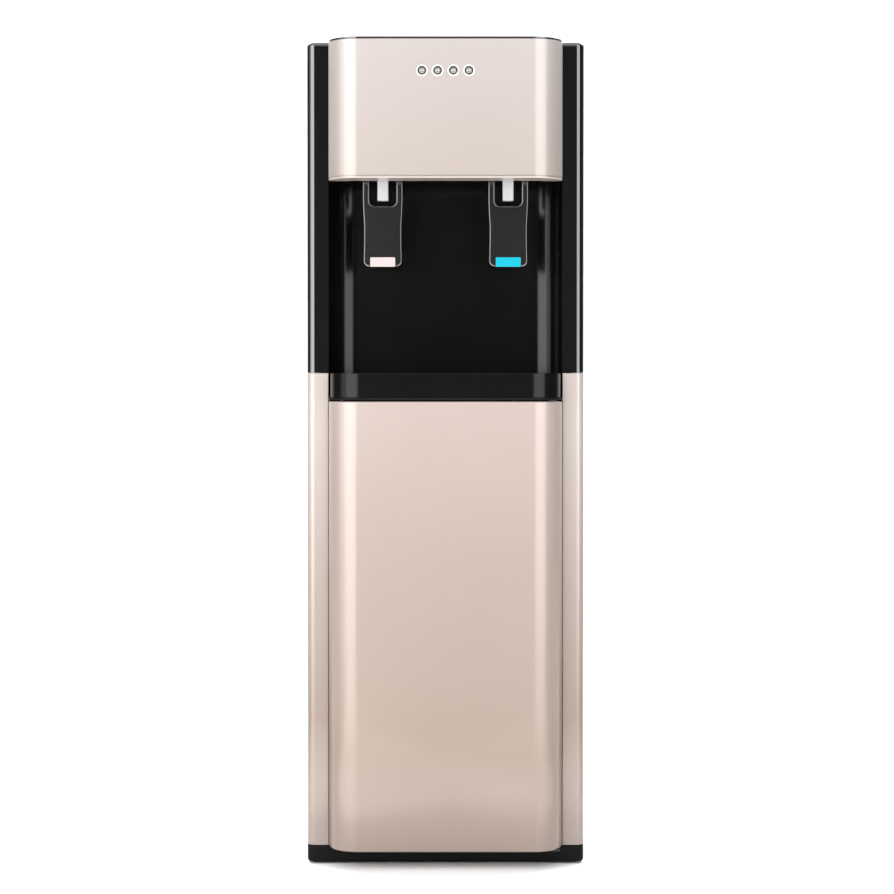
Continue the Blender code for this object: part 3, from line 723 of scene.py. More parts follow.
# %% [markdown]
# ## Side columns
# Each side is one deep channel: a narrow front face, the long side wall and a rear return. A block
# is bevelled on its outer uprights, the faces that stay open are deleted, and Solidify gives the
# wall. The black upper part also has a rounded top; the rose-gold lower part has a small round at
# its top edge that shows as a bright line where the colours meet.

# %% Side columns
COLUMN_INNER = 0.1348


def build_column(side, sign, part, low, high, top_round, material, slot):
    x_in, x_out = sign * COLUMN_INNER, sign * HALF_WIDTH
    x0, x1 = sorted((x_in, x_out))
    piece = start_block(f"{side}_{part}_column", (x0, COLUMN_Y, low), (x1, BACK_Y, high))

    def outer_corner(y):
        return lambda a, b: corners_at(y)(a, b) and close(a.x, x_out)

    round_edges(piece, outer_corner(COLUMN_Y), FRONT_CORNER, 12)
    round_edges(piece, outer_corner(BACK_Y), REAR_CORNER, 8)

    def top_rim(a, b):
        inner = close(a.x, x_in) and close(b.x, x_in)
        return level_at(high)(a, b) and not inner

    if part == "upper":
        round_edges(piece, top_rim, top_round, 6)
        delete_faces(piece, lambda c, n: close(c.x, x_in) or close(c.z, low))
        give_wall(piece)
    else:
        delete_faces(piece, lambda c, n: close(c.x, x_in) or close(c.z, low) or close(c.z, high))
        give_wall(piece)
        soften(piece, top_round, 3, 60)
    smooth(piece)
    stands_for(piece, material, slot, "cabinet", f"{side}_{part}_side_panel")


for side, sign in (("left", -1), ("right", 1)):
    build_column(side, sign, "lower", 0.0218, COLOUR_SPLIT - 0.0003, 0.0011, ROSE_SIDE_SHADED, "rose_gold")
    build_column(side, sign, "upper", COLOUR_SPLIT, HEIGHT, 0.0065, BLACK_GLOSS, "gloss_black")
print("columns done")

# %% [markdown]
# ## Cup niche
# The niche is a single gloss-black liner with big concave corners, which is why it is easy to wipe.
# It is a block whose rear uprights are bevelled, with its front and bottom left open.

# %% Cup niche
NICHE_LOW, NICHE_HIGH = 0.5405, 0.8095
NICHE_FRONT, NICHE_REAR = -0.1262, -0.058
NICHE_HALF, NICHE_CORNER, NICHE_WALL = 0.137, 0.032, 0.002
low, high = (-NICHE_HALF, NICHE_FRONT, NICHE_LOW), (NICHE_HALF, NICHE_REAR, NICHE_HIGH)
liner = rounded_block("cup_niche", low, high, corners_at(NICHE_REAR), NICHE_CORNER, 28)
delete_faces(liner, lambda c, n: close(c.y, NICHE_FRONT) or close(c.z, NICHE_LOW))
give_wall(liner, NICHE_WALL)
smooth(liner)
stands_for(liner, NICHE_GLOSS, "gloss_black", "cabinet", "niche_liner")
print("niche faces:", len(liner.data.polygons))

# %% [markdown]
# ## Drip tray and grille
# The tray is one moulding: the bowed front, then an inset and a step down for the ledge that the
# grille rests on, then a second inset and the deep basin. The grille is a plate with the same plan
# and one slot cutter repeated by an Array.

# %% Drip tray
TRAY_LOW, TRAY_HIGH = 0.5405, 0.5680
TRAY_HALF, TRAY_BACK, TRAY_CORNER = 0.1328, -0.062, 0.028


def tray_plan(name, inset, low, high):
    half, front, back = TRAY_HALF - inset, FRONT_Y + inset, TRAY_BACK - inset
    piece = start_block(name, (-half, front, low), (half, back, high))
    round_edges(piece, corners_at(front), BULGE_RADIUS - inset, BOW_STEPS)
    round_edges(piece, corners_at(back), TRAY_CORNER - inset, 20)
    return piece


tray = tray_plan("tray", 0.0, TRAY_LOW, TRAY_HIGH)
pick_faces(tray, lambda c, n: close(c.z, TRAY_HIGH) and n.z > 0.9)
for inset, depth in ((0.0024, 0.0034), (0.0036, 0.0216)):
    bpy.ops.mesh.inset(thickness=inset)
    bpy.ops.mesh.extrude_region_move(TRANSFORM_OT_translate={"value": (0, 0, -depth)})
end()


def outside(point):
    """True unless the point lies well inside the bow of a front corner."""
    across, along = abs(point.x) - (TRAY_HALF - BULGE_RADIUS), point.y - (FRONT_Y + BULGE_RADIUS)
    return across <= 0 or math.hypot(across, along) > BULGE_RADIUS - 0.0012


def outer_rim(a, b):
    edge = max(abs(a.x), abs(b.x)) > TRAY_HALF - 0.0018 or min(a.y, b.y) < FRONT_Y + 0.0012
    return level_at(TRAY_HIGH)(a, b) and edge and outside(a) and outside(b)


round_edges(tray, outer_rim, 0.0010, 3)
smooth(tray)
stands_for(tray, TRAY_GLOSS, "gloss_black", "tray", "drip_tray")
print("tray faces:", len(tray.data.polygons))

# %% Drip grille
grille = tray_plan("grille", 0.0027, 0.5649, 0.5676)
SLOT_COUNT, SLOT_PITCH, SLOT_HALF = 23, 0.0094, 0.0018
first_x = -SLOT_PITCH * (SLOT_COUNT // 2)
low, high = (first_x - SLOT_HALF, -0.152, 0.55), (first_x + SLOT_HALF, -0.078, 0.58)
slot = rounded_block("slot", low, high, upright, 0.0017, 5)
repeat(slot, SLOT_COUNT, (SLOT_PITCH, 0, 0))
take_away(grille, slot)
soften(grille, 0.0003, 2, 60)
smooth(grille)
stands_for(grille, DEEP_BLACK, "satin_black", "grille", "drip_grille")
print("grille faces:", len(grille.data.polygons))

# %% [markdown]
# ## Door
# The door repeats the bowed plan and fills the lower half. Its top and bottom edges are rounded
# just enough to catch a line of light, and two small holes take the hinge pins.

# %% Door
DOOR_LOW, DOOR_HIGH = 0.0218, 0.5358
DOOR_BACK = COLUMN_Y - 0.0008
HINGE, HINGE_HOLE = (0.1228, -0.143), 0.0027
door = bowed_block("door", BAY_HALF, DOOR_BACK, DOOR_LOW, DOOR_HIGH)
for z in (DOOR_LOW, DOOR_HIGH):
    round_edges(door, ring_at(z, DOOR_BACK), 0.0016, 4)
delete_faces(door, lambda c, n: close(c.y, DOOR_BACK))
give_wall(door)
take_away(door, start_rod("hinge_hole", (*HINGE, 0.28), HINGE_HOLE, 0.6, "Z", 24))
smooth(door)
stands_for(door, ROSE, "rose_gold", "door", "door_shell")
print("door faces:", len(door.data.polygons))

# %% [markdown]
# ## Plinth
# A low black skirt, a touch softer at the floor. It is a block with rounded uprights and a round
# along its lower edge, hollow underneath.

# %% Plinth
PLINTH_LOW, PLINTH_HIGH = 0.0020, 0.0215
plinth = start_block("plinth", (-HALF_WIDTH, COLUMN_Y, PLINTH_LOW), (HALF_WIDTH, BACK_Y, PLINTH_HIGH))
round_edges(plinth, corners_at(COLUMN_Y), FRONT_CORNER, 12)
round_edges(plinth, corners_at(BACK_Y), REAR_CORNER, 8)
round_edges(plinth, level_at(PLINTH_LOW), 0.0034, 5)
round_edges(plinth, level_at(PLINTH_HIGH), 0.0004, 2)
take_away(plinth, start_block("under", (-0.155, -0.124, -0.01), (0.155, 0.160, 0.0175)))
take_away(plinth, start_block("hinge_seat", (0.1112, -0.14, 0.0192), (0.1335, -0.1045, 0.03)))
smooth(plinth)
stands_for(plinth, DEEP_BLACK, "satin_black", "cabinet", "base_plinth")
print("plinth faces:", len(plinth.data.polygons))

# %% [markdown]
# ## Levers
# A lever is pushed back with the rim of a cup. It is a flat tongue with a slight waist, a slot down
# from the top for the nozzle, and a recess at its foot for the coloured insert. The block is
# cut across at five heights with bisect so that the waist can be scaled in, the foot's corners are
# bevelled, and the slot is taken away with a rounded block.

# %% Levers
LEVER_LOW, LEVER_HIGH = 0.691, 0.8035
LEVER_FRONT, LEVER_REAR = -0.124, -0.118
LEVER_HALF, NOTCH_LOW, RECESS_HIGH = 0.0233, 0.761, 0.7023
PIN_Y, PIVOT_Z = -0.121, 0.7985
WAIST = ((LEVER_LOW, 0.965), (0.705, 0.955), (0.722, 0.94), (0.738, 0.94), (0.752, 0.975))


def scale_loop(piece, z, centre_x, factor):
    pick_edges(piece, level_at(z))
    bpy.ops.transform.resize(value=(factor, 1, 1), center_override=(centre_x, 0, z))
    end()


def build_lever(name, sign, insert_material, insert_slot):
    x = sign * TAP_X
    lever = start_block(
        f"{name}_lever_tongue", (x - LEVER_HALF, LEVER_FRONT, LEVER_LOW), (x + LEVER_HALF, LEVER_REAR, LEVER_HIGH)
    )
    cut_across(lever, 0.705, 0.722, 0.738, 0.752, 0.766)
    for z, factor in WAIST:
        scale_loop(lever, z, x, factor)
    round_edges(lever, runs_back_at(LEVER_LOW), 0.007, 10)
    low, high = (x - 0.0155, -0.14, NOTCH_LOW), (x + 0.0155, -0.10, 0.82)
    take_away(lever, rounded_block("notch", low, high, runs_back_at(NOTCH_LOW), 0.006, 8))
    soften(lever, 0.0016, 4, 40)
    low, high = (x - 0.0148, -0.14, 0.68), (x + 0.0148, LEVER_FRONT + 0.0022, RECESS_HIGH)
    take_away(lever, rounded_block("recess", low, high, runs_back_at(RECESS_HIGH), 0.0012, 4))
    take_away(lever, start_rod("pin_hole", (x, PIN_Y, PIVOT_Z), 0.0016, 0.08, "X", 24))
    smooth(lever, 40)
    stands_for(lever, LEVER_PLASTIC, "dark_grey", f"{name}_tap_lever", f"{name}_lever")

    low, high = (x - 0.0145, LEVER_FRONT - 0.0001, LEVER_LOW), (x + 0.0145, LEVER_FRONT + 0.0019, 0.7020)
    insert = rounded_block(f"{name}_insert", low, high, fore_and_aft, 0.0011, 4)
    soften(insert, 0.0006, 3, 40)
    smooth(insert, 40)
    stands_for(insert, insert_material, insert_slot, f"{name}_tap_lever", f"{name}_marker")


build_lever("hot", -1, WARM, "warm_white")
build_lever("cold", 1, CYAN, "cyan")
print("levers turn at z", PIVOT_Z)

# %% [markdown]
# ## Nozzles
# Each nozzle is a short satin-nickel sleeve of square section with rounded uprights. The block is
# bevelled, its bore is taken away, and a small round on every edge lets the rim catch the light.

# %% Nozzles and tap bodies
def build_nozzle(name, sign):
    x = sign * TAP_X
    low, high = (x - 0.0064, -0.1184, 0.7676), (x + 0.0064, -0.1056, 0.7926)
    sleeve = rounded_block(f"{name}_nozzle_sleeve", low, high, upright, 0.0016, 5)
    take_away(sleeve, start_rod("bore", (x, -0.112, 0.78), 0.0044, 0.06, "Z", 40))
    soften(sleeve, 0.0003, 2, 50)
    smooth(sleeve, 40)
    stands_for(sleeve, NOZZLE, "polished_steel", "cabinet", f"{name}_nozzle")
    low, high = (x - 0.0140, -0.1265, 0.7930), (x + 0.0140, -0.1000, 0.8072)
    body = rounded_block(f"{name}_tap_block", low, high, upright, 0.004, 6)
    take_away(body, start_rod("pin_way", (x, PIN_Y, PIVOT_Z), 0.0018, 0.08, "X", 24))
    soften(body, 0.0005, 2, 50)
    smooth(body, 40)
    stands_for(body, BLACK_SATIN, "satin_black", "cabinet", f"{name}_tap_body")


build_nozzle("hot", -1)
build_nozzle("cold", 1)
print("nozzles done")

# %% [markdown]
# ## Rubber feet
# A turned foot with a grip groove, modelled once and copied to the other three corners.

# %% Feet
FOOT_PROFILE = (
    (0.0, 0.0006), (0.0090, 0.0006), (0.0100, 0.0), (0.0120, 0.0), (0.0140, 0.0016), (0.0140, 0.0060),
    (0.0132, 0.0066), (0.0132, 0.0072), (0.0112, 0.0082), (0.0110, 0.0172), (0.0, 0.0172),
)
first_foot = None
for end_name, y in (("front", -0.090), ("rear", 0.130)):
    for side, x in (("left", -0.125), ("right", 0.125)):
        if first_foot is None:
            label = f"rubber_foot_{end_name}_{side}"
            first_foot = spin_profile(label, FOOT_PROFILE, (x, y, 0.0), "Z", 40)
            smooth(first_foot, 40)
            foot, start = first_foot, Vector((x, y, 0))
        else:
            foot = copy_of(first_foot, f"rubber_foot_{end_name}_{side}", Vector((x, y, 0)) - start)
        stands_for(foot, RUBBER, "rubber", "cabinet", f"foot_{end_name}_{side}")
print("feet done")

# %% [markdown]
# ## Middle shelf
# The shelf between door and tray is a plate cut to the same bowed plan, so it fills the shadow
# line between the two.

# %% Middle shelf
SHELF_LOW, SHELF_HIGH = 0.5373, 0.5402
shelf = bowed_block("shelf_plate", BAY_HALF, 0.160, SHELF_LOW, SHELF_HIGH)
soften(shelf, 0.0005, 2, 50)
smooth(shelf)
stands_for(shelf, DEEP_BLACK, "satin_black", "cabinet", "mid_frame")
print("shelf faces:", len(shelf.data.polygons))

# %% [markdown]
# ## Screws
# One pan-head screw with a cross recess is spun and cut, then copied wherever the back is fixed.
# Every copy gets a mesh of its own, moved in place.

# %% Screws
screw_count = 0
SCREW_PROFILE = (
    (0.0, 0.0018), (0.0012, 0.0017), (0.0023, 0.0013), (0.0031, 0.0005), (0.0032, -0.0001), (0.0, -0.0001),
)
master_screw = spin_profile("rear_screw_1", SCREW_PROFILE, (0, 0, 0), "Y", 28)
for wide, tall in ((0.0036, 0.0007), (0.0007, 0.0036)):
    low, high = (-wide / 2, 0.0008, -tall / 2), (wide / 2, 0.003, tall / 2)
    take_away(master_screw, start_block("cross", low, high))
smooth(master_screw, 40)


def put_screws(places, family="rear", body="cabinet"):
    """A screw at each place; its head stands out along +Y."""
    global screw_count
    for place in places:
        screw_count += 1
        dress(copy_of(master_screw, f"{family}_screw_{screw_count}", place), STEEL, body)


print("screw faces:", len(master_screw.data.polygons))

# %% [markdown]
# ## Back covers
# The back is two pressed plates. Each starts as a block; its outer face is inset and pushed in a
# little, which leaves a stiffening border. The corners are rounded only after that, because an
# inset wider than a rounded corner would fold over itself. A bank of round-ended slots is one
# block with an Array, taken away in one go.

# %% Back covers
PLATE_FRONT = 0.1625
COVER_HALF = 0.1345
LOUVRES, LOUVRE_PITCH = 12, 0.024


def cover_plate(name, low, high):
    piece = start_block(name, (-COVER_HALF, PLATE_FRONT, low), (COVER_HALF, BACK_Y, high))
    pick_faces(piece, lambda c, n: n.y > 0.9)
    sink(0.0145, 0.0012, -0.0009)
    end()
    round_edges(piece, lambda a, b: fore_and_aft(a, b) and close(abs(a.x), COVER_HALF), 0.003, 6)
    return piece


def cut_slots(plate, x, first, count, pitch, width, height):
    low = (x - width / 2, PLATE_FRONT - 0.01, first - height / 2)
    high = (x + width / 2, BACK_Y + 0.01, first + height / 2)
    cutter = rounded_block("slots", low, high, fore_and_aft, height * 0.48, 6)
    repeat(cutter, count, (0, 0, pitch))
    take_away(plate, cutter)


upper_back = cover_plate("back_cover_upper", 0.5685, 0.9472)
for x in (-0.07, 0.0, 0.07):
    cut_slots(upper_back, x, 0.88, 5, 0.010, 0.050, 0.004)
SWITCHES = (("hot", 0.100, RED, "red_plastic"), ("cold", 0.066, BLUE, "blue_plastic"))
for name, x, material, slot_name in SWITCHES:
    take_away(upper_back, start_block("window", (x - 0.0102, 0.15, 0.6918), (x + 0.0102, 0.18, 0.7082)))
smooth(upper_back)
stands_for(upper_back, BLACK_ENAMEL, "satin_black", "cabinet", "rear_upper_cover")

lower_back = cover_plate("back_cover_lower", 0.0218, 0.5682)
for x in (-0.06, 0.06):
    cut_slots(lower_back, x, 0.22, LOUVRES, LOUVRE_PITCH, 0.085, 0.006)
take_away(lower_back, start_block("inlet_window", (-0.1043, 0.15, 0.0748), (-0.0757, 0.18, 0.0952)))
for x in (DRAIN_X, WATER_X):
    take_away(lower_back, start_rod("port", (x, BACK_Y, PORT_Z), 0.0115, 0.04, "Y"))
smooth(lower_back)
stands_for(lower_back, BLACK_ENAMEL, "satin_black", "cabinet", "rear_lower_panel")
SCREW_HEIGHTS = (0.577, 0.757, 0.938, 0.031, 0.295, 0.559)
rows = [(x, BACK_Y, z) for z in SCREW_HEIGHTS for x in (-0.127, 0.127)]
put_screws(rows)
print("back covers with", screw_count, "screws")

# %% [markdown]
# ## Louvre hoods
# Under each row of slots in the lower cover the metal is pressed out into a hood. One hood is a
# block whose upper outer edge is pushed back to the plate, opened at its lower side and given a
# thin wall; an Array repeats it up the panel.

# %% Louvre hoods
def build_hoods(side, x):
    low, high = (x - 0.0435, 0.1640, 0.2176), (x + 0.0435, 0.1668, 0.2290)
    hood = start_block(f"louvre_hoods_{side}", low, high)
    pick_edges(hood, lambda a, b: level_at(high[2])(a, b) and close(a.y, high[1]) and close(b.y, high[1]))
    bpy.ops.transform.translate(value=(0, -0.0026, 0))
    end()
    round_edges(hood, lambda a, b: close(a.y, high[1]) or close(b.y, high[1]), 0.0007, 3)
    delete_faces(hood, lambda c, n: n.z < -0.9 or n.y < -0.9)
    apply_modifier(hood, "SOLIDIFY", thickness=0.0006, offset=-1.0)
    repeat(hood, LOUVRES, (0, 0, LOUVRE_PITCH))
    smooth(hood, 40)
    dress(hood, BLACK_ENAMEL)


build_hoods("left", 0.06)
build_hoods("right", -0.06)
print("hoods done")

# %% [markdown]
# ## Softened copies
# Some measured solids have the right shape but knife-sharp edges. A copy of the mesh is merged, its
# coplanar triangles are dissolved, and a narrow bevel makes it look moulded or pressed.

# %% Softened copies
def merged_copy(node_name, name):
    """A copy of a measured solid, its doubled points merged, in edit mode with all of it selected."""
    piece = bpy.data.objects.new(name, nodes[node_name].data.copy())
    bpy.context.scene.collection.objects.link(piece)
    begin(piece, "FACE")
    bpy.ops.mesh.select_all(action="SELECT")
    bpy.ops.mesh.remove_doubles(threshold=1e-6)
    bpy.ops.mesh.select_all(action="SELECT")
    return piece


def softened(node_name, name, material, slot_name, body, width):
    piece = merged_copy(node_name, name)
    bpy.ops.mesh.dissolve_limited(angle_limit=math.radians(1.0))
    end()
    soften(piece, width, 2, 35)
    smooth(piece, 40)
    stands_for(piece, material, slot_name, body, node_name)


SOFTENED = (
    ("door_strike", "strike_plate", STEEL, "steel", "door", 0.0003),
    ("door_magnet", "magnet_block", GREY, "dark_grey", "cabinet", 0.0008),
    ("upper_hinge_pin", "hinge_pin_upper", STEEL, "steel", "cabinet", 0.0003),
    ("lower_hinge_bracket", "hinge_bracket_lower", BLUED, "steel", "cabinet", 0.0003),
    ("indicator_board", "lamp_board", BOARD, "circuit_board", "cabinet", 0.0002),
    ("control_board", "main_board", BOARD, "circuit_board", "cabinet", 0.0002),
    ("hot_lever_pin", "hot_pivot_pin", STEEL, "steel", "cabinet", 0.0002),
    ("cold_lever_pin", "cold_pivot_pin", STEEL, "steel", "cabinet", 0.0002),
    ("hot_switch", "hot_rocker_key", RED, "red_plastic", "hot_rocker", 0.0006),
    ("cold_switch", "cold_rocker_key", BLUE, "blue_plastic", "cold_rocker", 0.0006),
    ("power_inlet", "mains_inlet", BLACK_SATIN, "satin_black", "cabinet", 0.0003),
    ("booster_pump", "pump_body", GREY, "dark_grey", "cabinet", 0.0006),
    ("cold_tank_insulation", "cold_foam_jacket", FOAM, "foam", "cabinet", 0.0030),
    ("hot_tank_insulation", "hot_foam_jacket", FOAM, "foam", "cabinet", 0.0020),
)
for entry in SOFTENED:
    softened(*entry)
put_screws([(-0.110, -0.1290, z) for z in (0.285, 0.315)], "door", "door")
print("softened", len(SOFTENED), "solids")

# %% [markdown]
# ## Fittings on the back
# Each rocker switch sits in a raised frame, the mains inlet behind a flange, the water inlet in a
# six-sided nut, and the drain is closed by a ribbed cap that unscrews.

# %% Fittings on the back
def window_frame(name, centre, outer, inner, depth):
    (x, z), (wide, tall) = centre, outer
    low, high = (x - wide / 2, BACK_Y, z - tall / 2), (x + wide / 2, BACK_Y + depth, z + tall / 2)
    surround = rounded_block(name, low, high, fore_and_aft, 0.0022, 6)
    low = (x - inner[0] / 2, BACK_Y - 0.01, z - inner[1] / 2)
    high = (x + inner[0] / 2, BACK_Y + 0.01, z + inner[1] / 2)
    take_away(surround, start_block("window", low, high))
    soften(surround, 0.0004, 2, 50)
    smooth(surround, 40)
    dress(surround, BLACK_SATIN)


for name, x, material, slot_name in SWITCHES:
    window_frame(f"{name}_switch_frame", (x, 0.700), (0.0262, 0.0222), (0.0204, 0.0168), 0.0013)
window_frame("inlet_flange", (MAINS_X, PORT_Z), (0.0420, 0.0290), (0.0286, 0.0204), 0.0015)
put_screws([(x, BACK_Y + 0.0014, PORT_Z) for x in (MAINS_X - 0.0175, MAINS_X + 0.0175)])

fitting = spin_profile(
    "water_inlet_port",
    ((0.0048, 0.0010), (0.0056, 0.0016), (0.0078, 0.0016), (0.0080, 0.0008), (0.0092, 0.0006),
     (0.0110, -0.0004), (0.0110, -0.0140), (0.0048, -0.0140), (0.0048, 0.0010)),
    (WATER_X, BACK_Y, PORT_Z), "Y"
)
smooth(fitting, 40)
stands_for(fitting, BLUE, "blue_plastic", "cabinet", "water_inlet_fitting")
nut = start_rod("water_inlet_nut", (WATER_X, BACK_Y + 0.0015, PORT_Z), 0.0150, 0.0030, "Y", 6)
take_away(nut, start_rod("thread", (WATER_X, BACK_Y, PORT_Z), 0.0112, 0.03, "Y"))
soften(nut, 0.0005, 2, 50)
smooth(nut, 40)
dress(nut, STEEL)

cap = spin_profile(
    "drain_plug",
    ((0.0, -0.0026), (0.0080, -0.0026), (0.0098, -0.0028), (0.0108, -0.0036), (0.0110, -0.0050),
     (0.0104, -0.0056), (0.0104, -0.0062), (0.0110, -0.0068), (0.0110, -0.0140), (0.0, -0.0140)),
    (DRAIN_X, BACK_Y, PORT_Z), "Y"
)
low = (DRAIN_X - 0.0015, BACK_Y - 0.0060, PORT_Z - 0.0075)
high = (DRAIN_X + 0.0015, BACK_Y - 0.0005, PORT_Z + 0.0075)
grip = rounded_block("grip", low, high, lambda a, b: max(a.y, b.y) > low[1] + 1e-5, 0.0008, 3)
join_on(cap, grip)
smooth(cap, 40)
stands_for(cap, RED, "red_plastic", "drain_screw", "drain_cap")
print("back fittings done")

# %% [markdown]
# ## Inside of the door and the filter cabinet
# Behind the door is a white moulded box with rounded inner corners. The door's own liner is a
# shallow pan: its face is inset and sunk twice, which gives the stepped border of a pressed sheet.

# %% Cabinet box and door liner
CABINET_FRONT = -0.1235
low, high = (-0.132, CABINET_FRONT, 0.028), (0.132, 0.030, 0.534)
box = rounded_block("filter_cabinet_box", low, high, lambda a, b: max(a.y, b.y) > 0, 0.008, 5)
delete_faces(box, lambda c, n: close(c.y, CABINET_FRONT))
give_wall(box, 0.0019)
soften(box, 0.0004, 2, 60)
smooth(box)
stands_for(box, WHITE, "off_white", "cabinet", "cabinet_liner")

PAN_HALF = 0.1288
pan = start_block("door_pan", (-PAN_HALF, -0.1328, 0.0260), (PAN_HALF, -0.1300, 0.5316))
pick_faces(pan, lambda c, n: n.y > 0.9)
sink(0.009, 0.0014, -0.0008)
sink(0.026, 0.0014, 0.0007)
end()
round_edges(pan, lambda a, b: fore_and_aft(a, b) and close(abs(a.x), PAN_HALF), 0.005, 6)
take_away(pan, start_block("strike_seat", (-0.1225, -0.1310, 0.2775), (-0.0975, -0.12, 0.3225)))
smooth(pan)
stands_for(pan, WHITE, "off_white", "door", "door_liner")
print("cabinet and liner done")

# %% [markdown]
# ## Filters
# Three cartridges hang from one head. A cartridge is a single spun outline with rings at neck and
# foot, joined to the bar that a hand turns it by; it is modelled once and copied twice.

# %% Filters
FILTER_Y = -0.040
FILTER_X = (-0.077, 0.0, 0.077)
CARTRIDGE_PROFILE = (
    (0.0, 0.1405), (0.0180, 0.1405), (0.0235, 0.1420), (0.0275, 0.1460), (0.0294, 0.1520), (0.0294, 0.1580),
    (0.0300, 0.1586), (0.0300, 0.1640), (0.0294, 0.1646), (0.0294, 0.1670), (0.0300, 0.1676), (0.0300, 0.3960),
    (0.0294, 0.3966), (0.0294, 0.3990), (0.0300, 0.3996), (0.0300, 0.4040), (0.0290, 0.4080), (0.0285, 0.4200),
    (0.0262, 0.4262), (0.0215, 0.4320), (0.0162, 0.4358), (0.0160, 0.4440), (0.0153, 0.4446), (0.0153, 0.4470),
    (0.0160, 0.4476), (0.0160, 0.4540), (0.0153, 0.4546), (0.0153, 0.4570), (0.0160, 0.4576), (0.0160, 0.4670),
    (0.0150, 0.4680), (0.0, 0.4680),
)
first_cartridge = spin_profile("cartridge_1", CARTRIDGE_PROFILE, (FILTER_X[0], FILTER_Y, 0.0), "Z", 72)
low = (FILTER_X[0] - 0.004, FILTER_Y - 0.024, 0.1250)
high = (FILTER_X[0] + 0.004, FILTER_Y + 0.024, 0.1440)
turning_bar = rounded_block("bar", low, high, lambda a, b: close(min(a.z, b.z), low[2]), 0.0025, 5)
join_on(first_cartridge, turning_bar)
smooth(first_cartridge, 40)
for index, x in enumerate(FILTER_X):
    if index == 0:
        cartridge = first_cartridge
    else:
        cartridge = copy_of(first_cartridge, f"cartridge_{index + 1}", (x - FILTER_X[0], 0, 0))
    stands_for(cartridge, WHITE, "off_white", f"filter_{index + 1}", f"filter_cartridge_{index + 1}")

low, high = (-0.118, -0.062, 0.4450), (0.118, 0.0277, 0.4850)
head_block = rounded_block("filter_head", low, high, everything, 0.004, 4)
pick_faces(head_block, lambda c, n: n.y < -0.9)
bpy.ops.mesh.inset(thickness=0.004)
bpy.ops.transform.translate(value=(0, 0.0012, 0))
end()
for x in FILTER_X:
    collar = start_rod("collar", (x, FILTER_Y, 0.4440), 0.0212, 0.0120, "Z", 64)
    round_edges(collar, level_at(0.4380), 0.0012, 3)
    join_on(head_block, collar)
    take_away(head_block, start_rod("socket", (x, FILTER_Y, 0.450), 0.0164, 0.042, "Z", 64))
low, high = (-0.110, -0.0560, 0.4800), (0.110, 0.010, 0.4950)
join_on(head_block, rounded_block("rail", low, high, upright, 0.008, 6))
smooth(head_block, 40)
stands_for(head_block, GREY, "dark_grey", "cabinet", "filter_manifold")
print("filters done")

# %% [markdown]
# ## Cooling
# Behind the louvres stands a wire-and-tube condenser: one tube laid in ten passes and a row of thin
# wires on each side of it. The tube follows straight runs and half circles worked out in a loop,
# swept as a curve and then made a mesh. The compressor's pot is one spun outline.

# %% Condenser and compressor
CONDENSER_Y, RUN_HALF, FIRST_PASS = 0.1500, 0.1002, 0.215
PASSES, PASS_PITCH, BEND, BEND_STEPS = 10, 0.030, 0.015, 12
route = []
for index in range(PASSES):
    side = 1 if index % 2 == 0 else -1
    z = FIRST_PASS + PASS_PITCH * index
    route += [(-side * RUN_HALF, z), (side * RUN_HALF, z)]
    if index < PASSES - 1:
        for step in range(1, BEND_STEPS):
            angle = math.pi * step / BEND_STEPS
            route.append((side * (RUN_HALF + BEND * math.sin(angle)), z + BEND * (1 - math.cos(angle))))
curve = bpy.data.curves.new("condenser_tube", "CURVE")
curve.dimensions = "3D"
curve.bevel_depth = 0.0026
curve.bevel_resolution = 4
curve.use_fill_caps = True
spline = curve.splines.new("POLY")
spline.points.add(len(route) - 1)
for point, (x, z) in zip(spline.points, route):
    point.co = (x, CONDENSER_Y, z, 1)
condenser = bpy.data.objects.new("condenser_tube", curve)
bpy.context.scene.collection.objects.link(condenser)
only(condenser)
bpy.ops.object.convert(target="MESH")
condenser = bpy.context.object
smooth(condenser, 40)
stands_for(condenser, BLACK_PAINT, "painted_black", "cabinet", "condenser_coil")
for label, y in (("front", CONDENSER_Y - 0.0033), ("rear", CONDENSER_Y + 0.0033)):
    wires = start_rod(f"condenser_wires_{label}", (-0.096, y, 0.350), 0.0007, 0.290, "Z", 10)
    repeat(wires, 25, (0.008, 0, 0))
    smooth(wires, 40)
    dress(wires, BLACK_PAINT)

pot = spin_profile(
    "compressor_pot",
    ((0.0, 0.0240), (0.0380, 0.0240), (0.0460, 0.0268), (0.0505, 0.0340), (0.0525, 0.0450),
     (0.0525, 0.0784), (0.0545, 0.0790), (0.0545, 0.0850), (0.0525, 0.0856), (0.0525, 0.1250),
     (0.0505, 0.1370), (0.0440, 0.1490), (0.0330, 0.1580), (0.0180, 0.1628), (0.0, 0.1640)),
    (-0.060, 0.0880, 0.0), "Z", 64
)
join_on(pot, rounded_block("mount", (-0.124, 0.068, 0.0218), (0.004, 0.108, 0.0265), upright, 0.008, 6))
smooth(pot, 40)
stands_for(pot, BLACK_PAINT, "painted_black", "cabinet", "compressor")
print("cooling done")

# %% [markdown]
# ## Tanks and hoses
# The tanks are drawn steel cans with a rolled seam near each end. The hoses are the measured tubes
# with a level of subdivision, which makes their eight sides round.

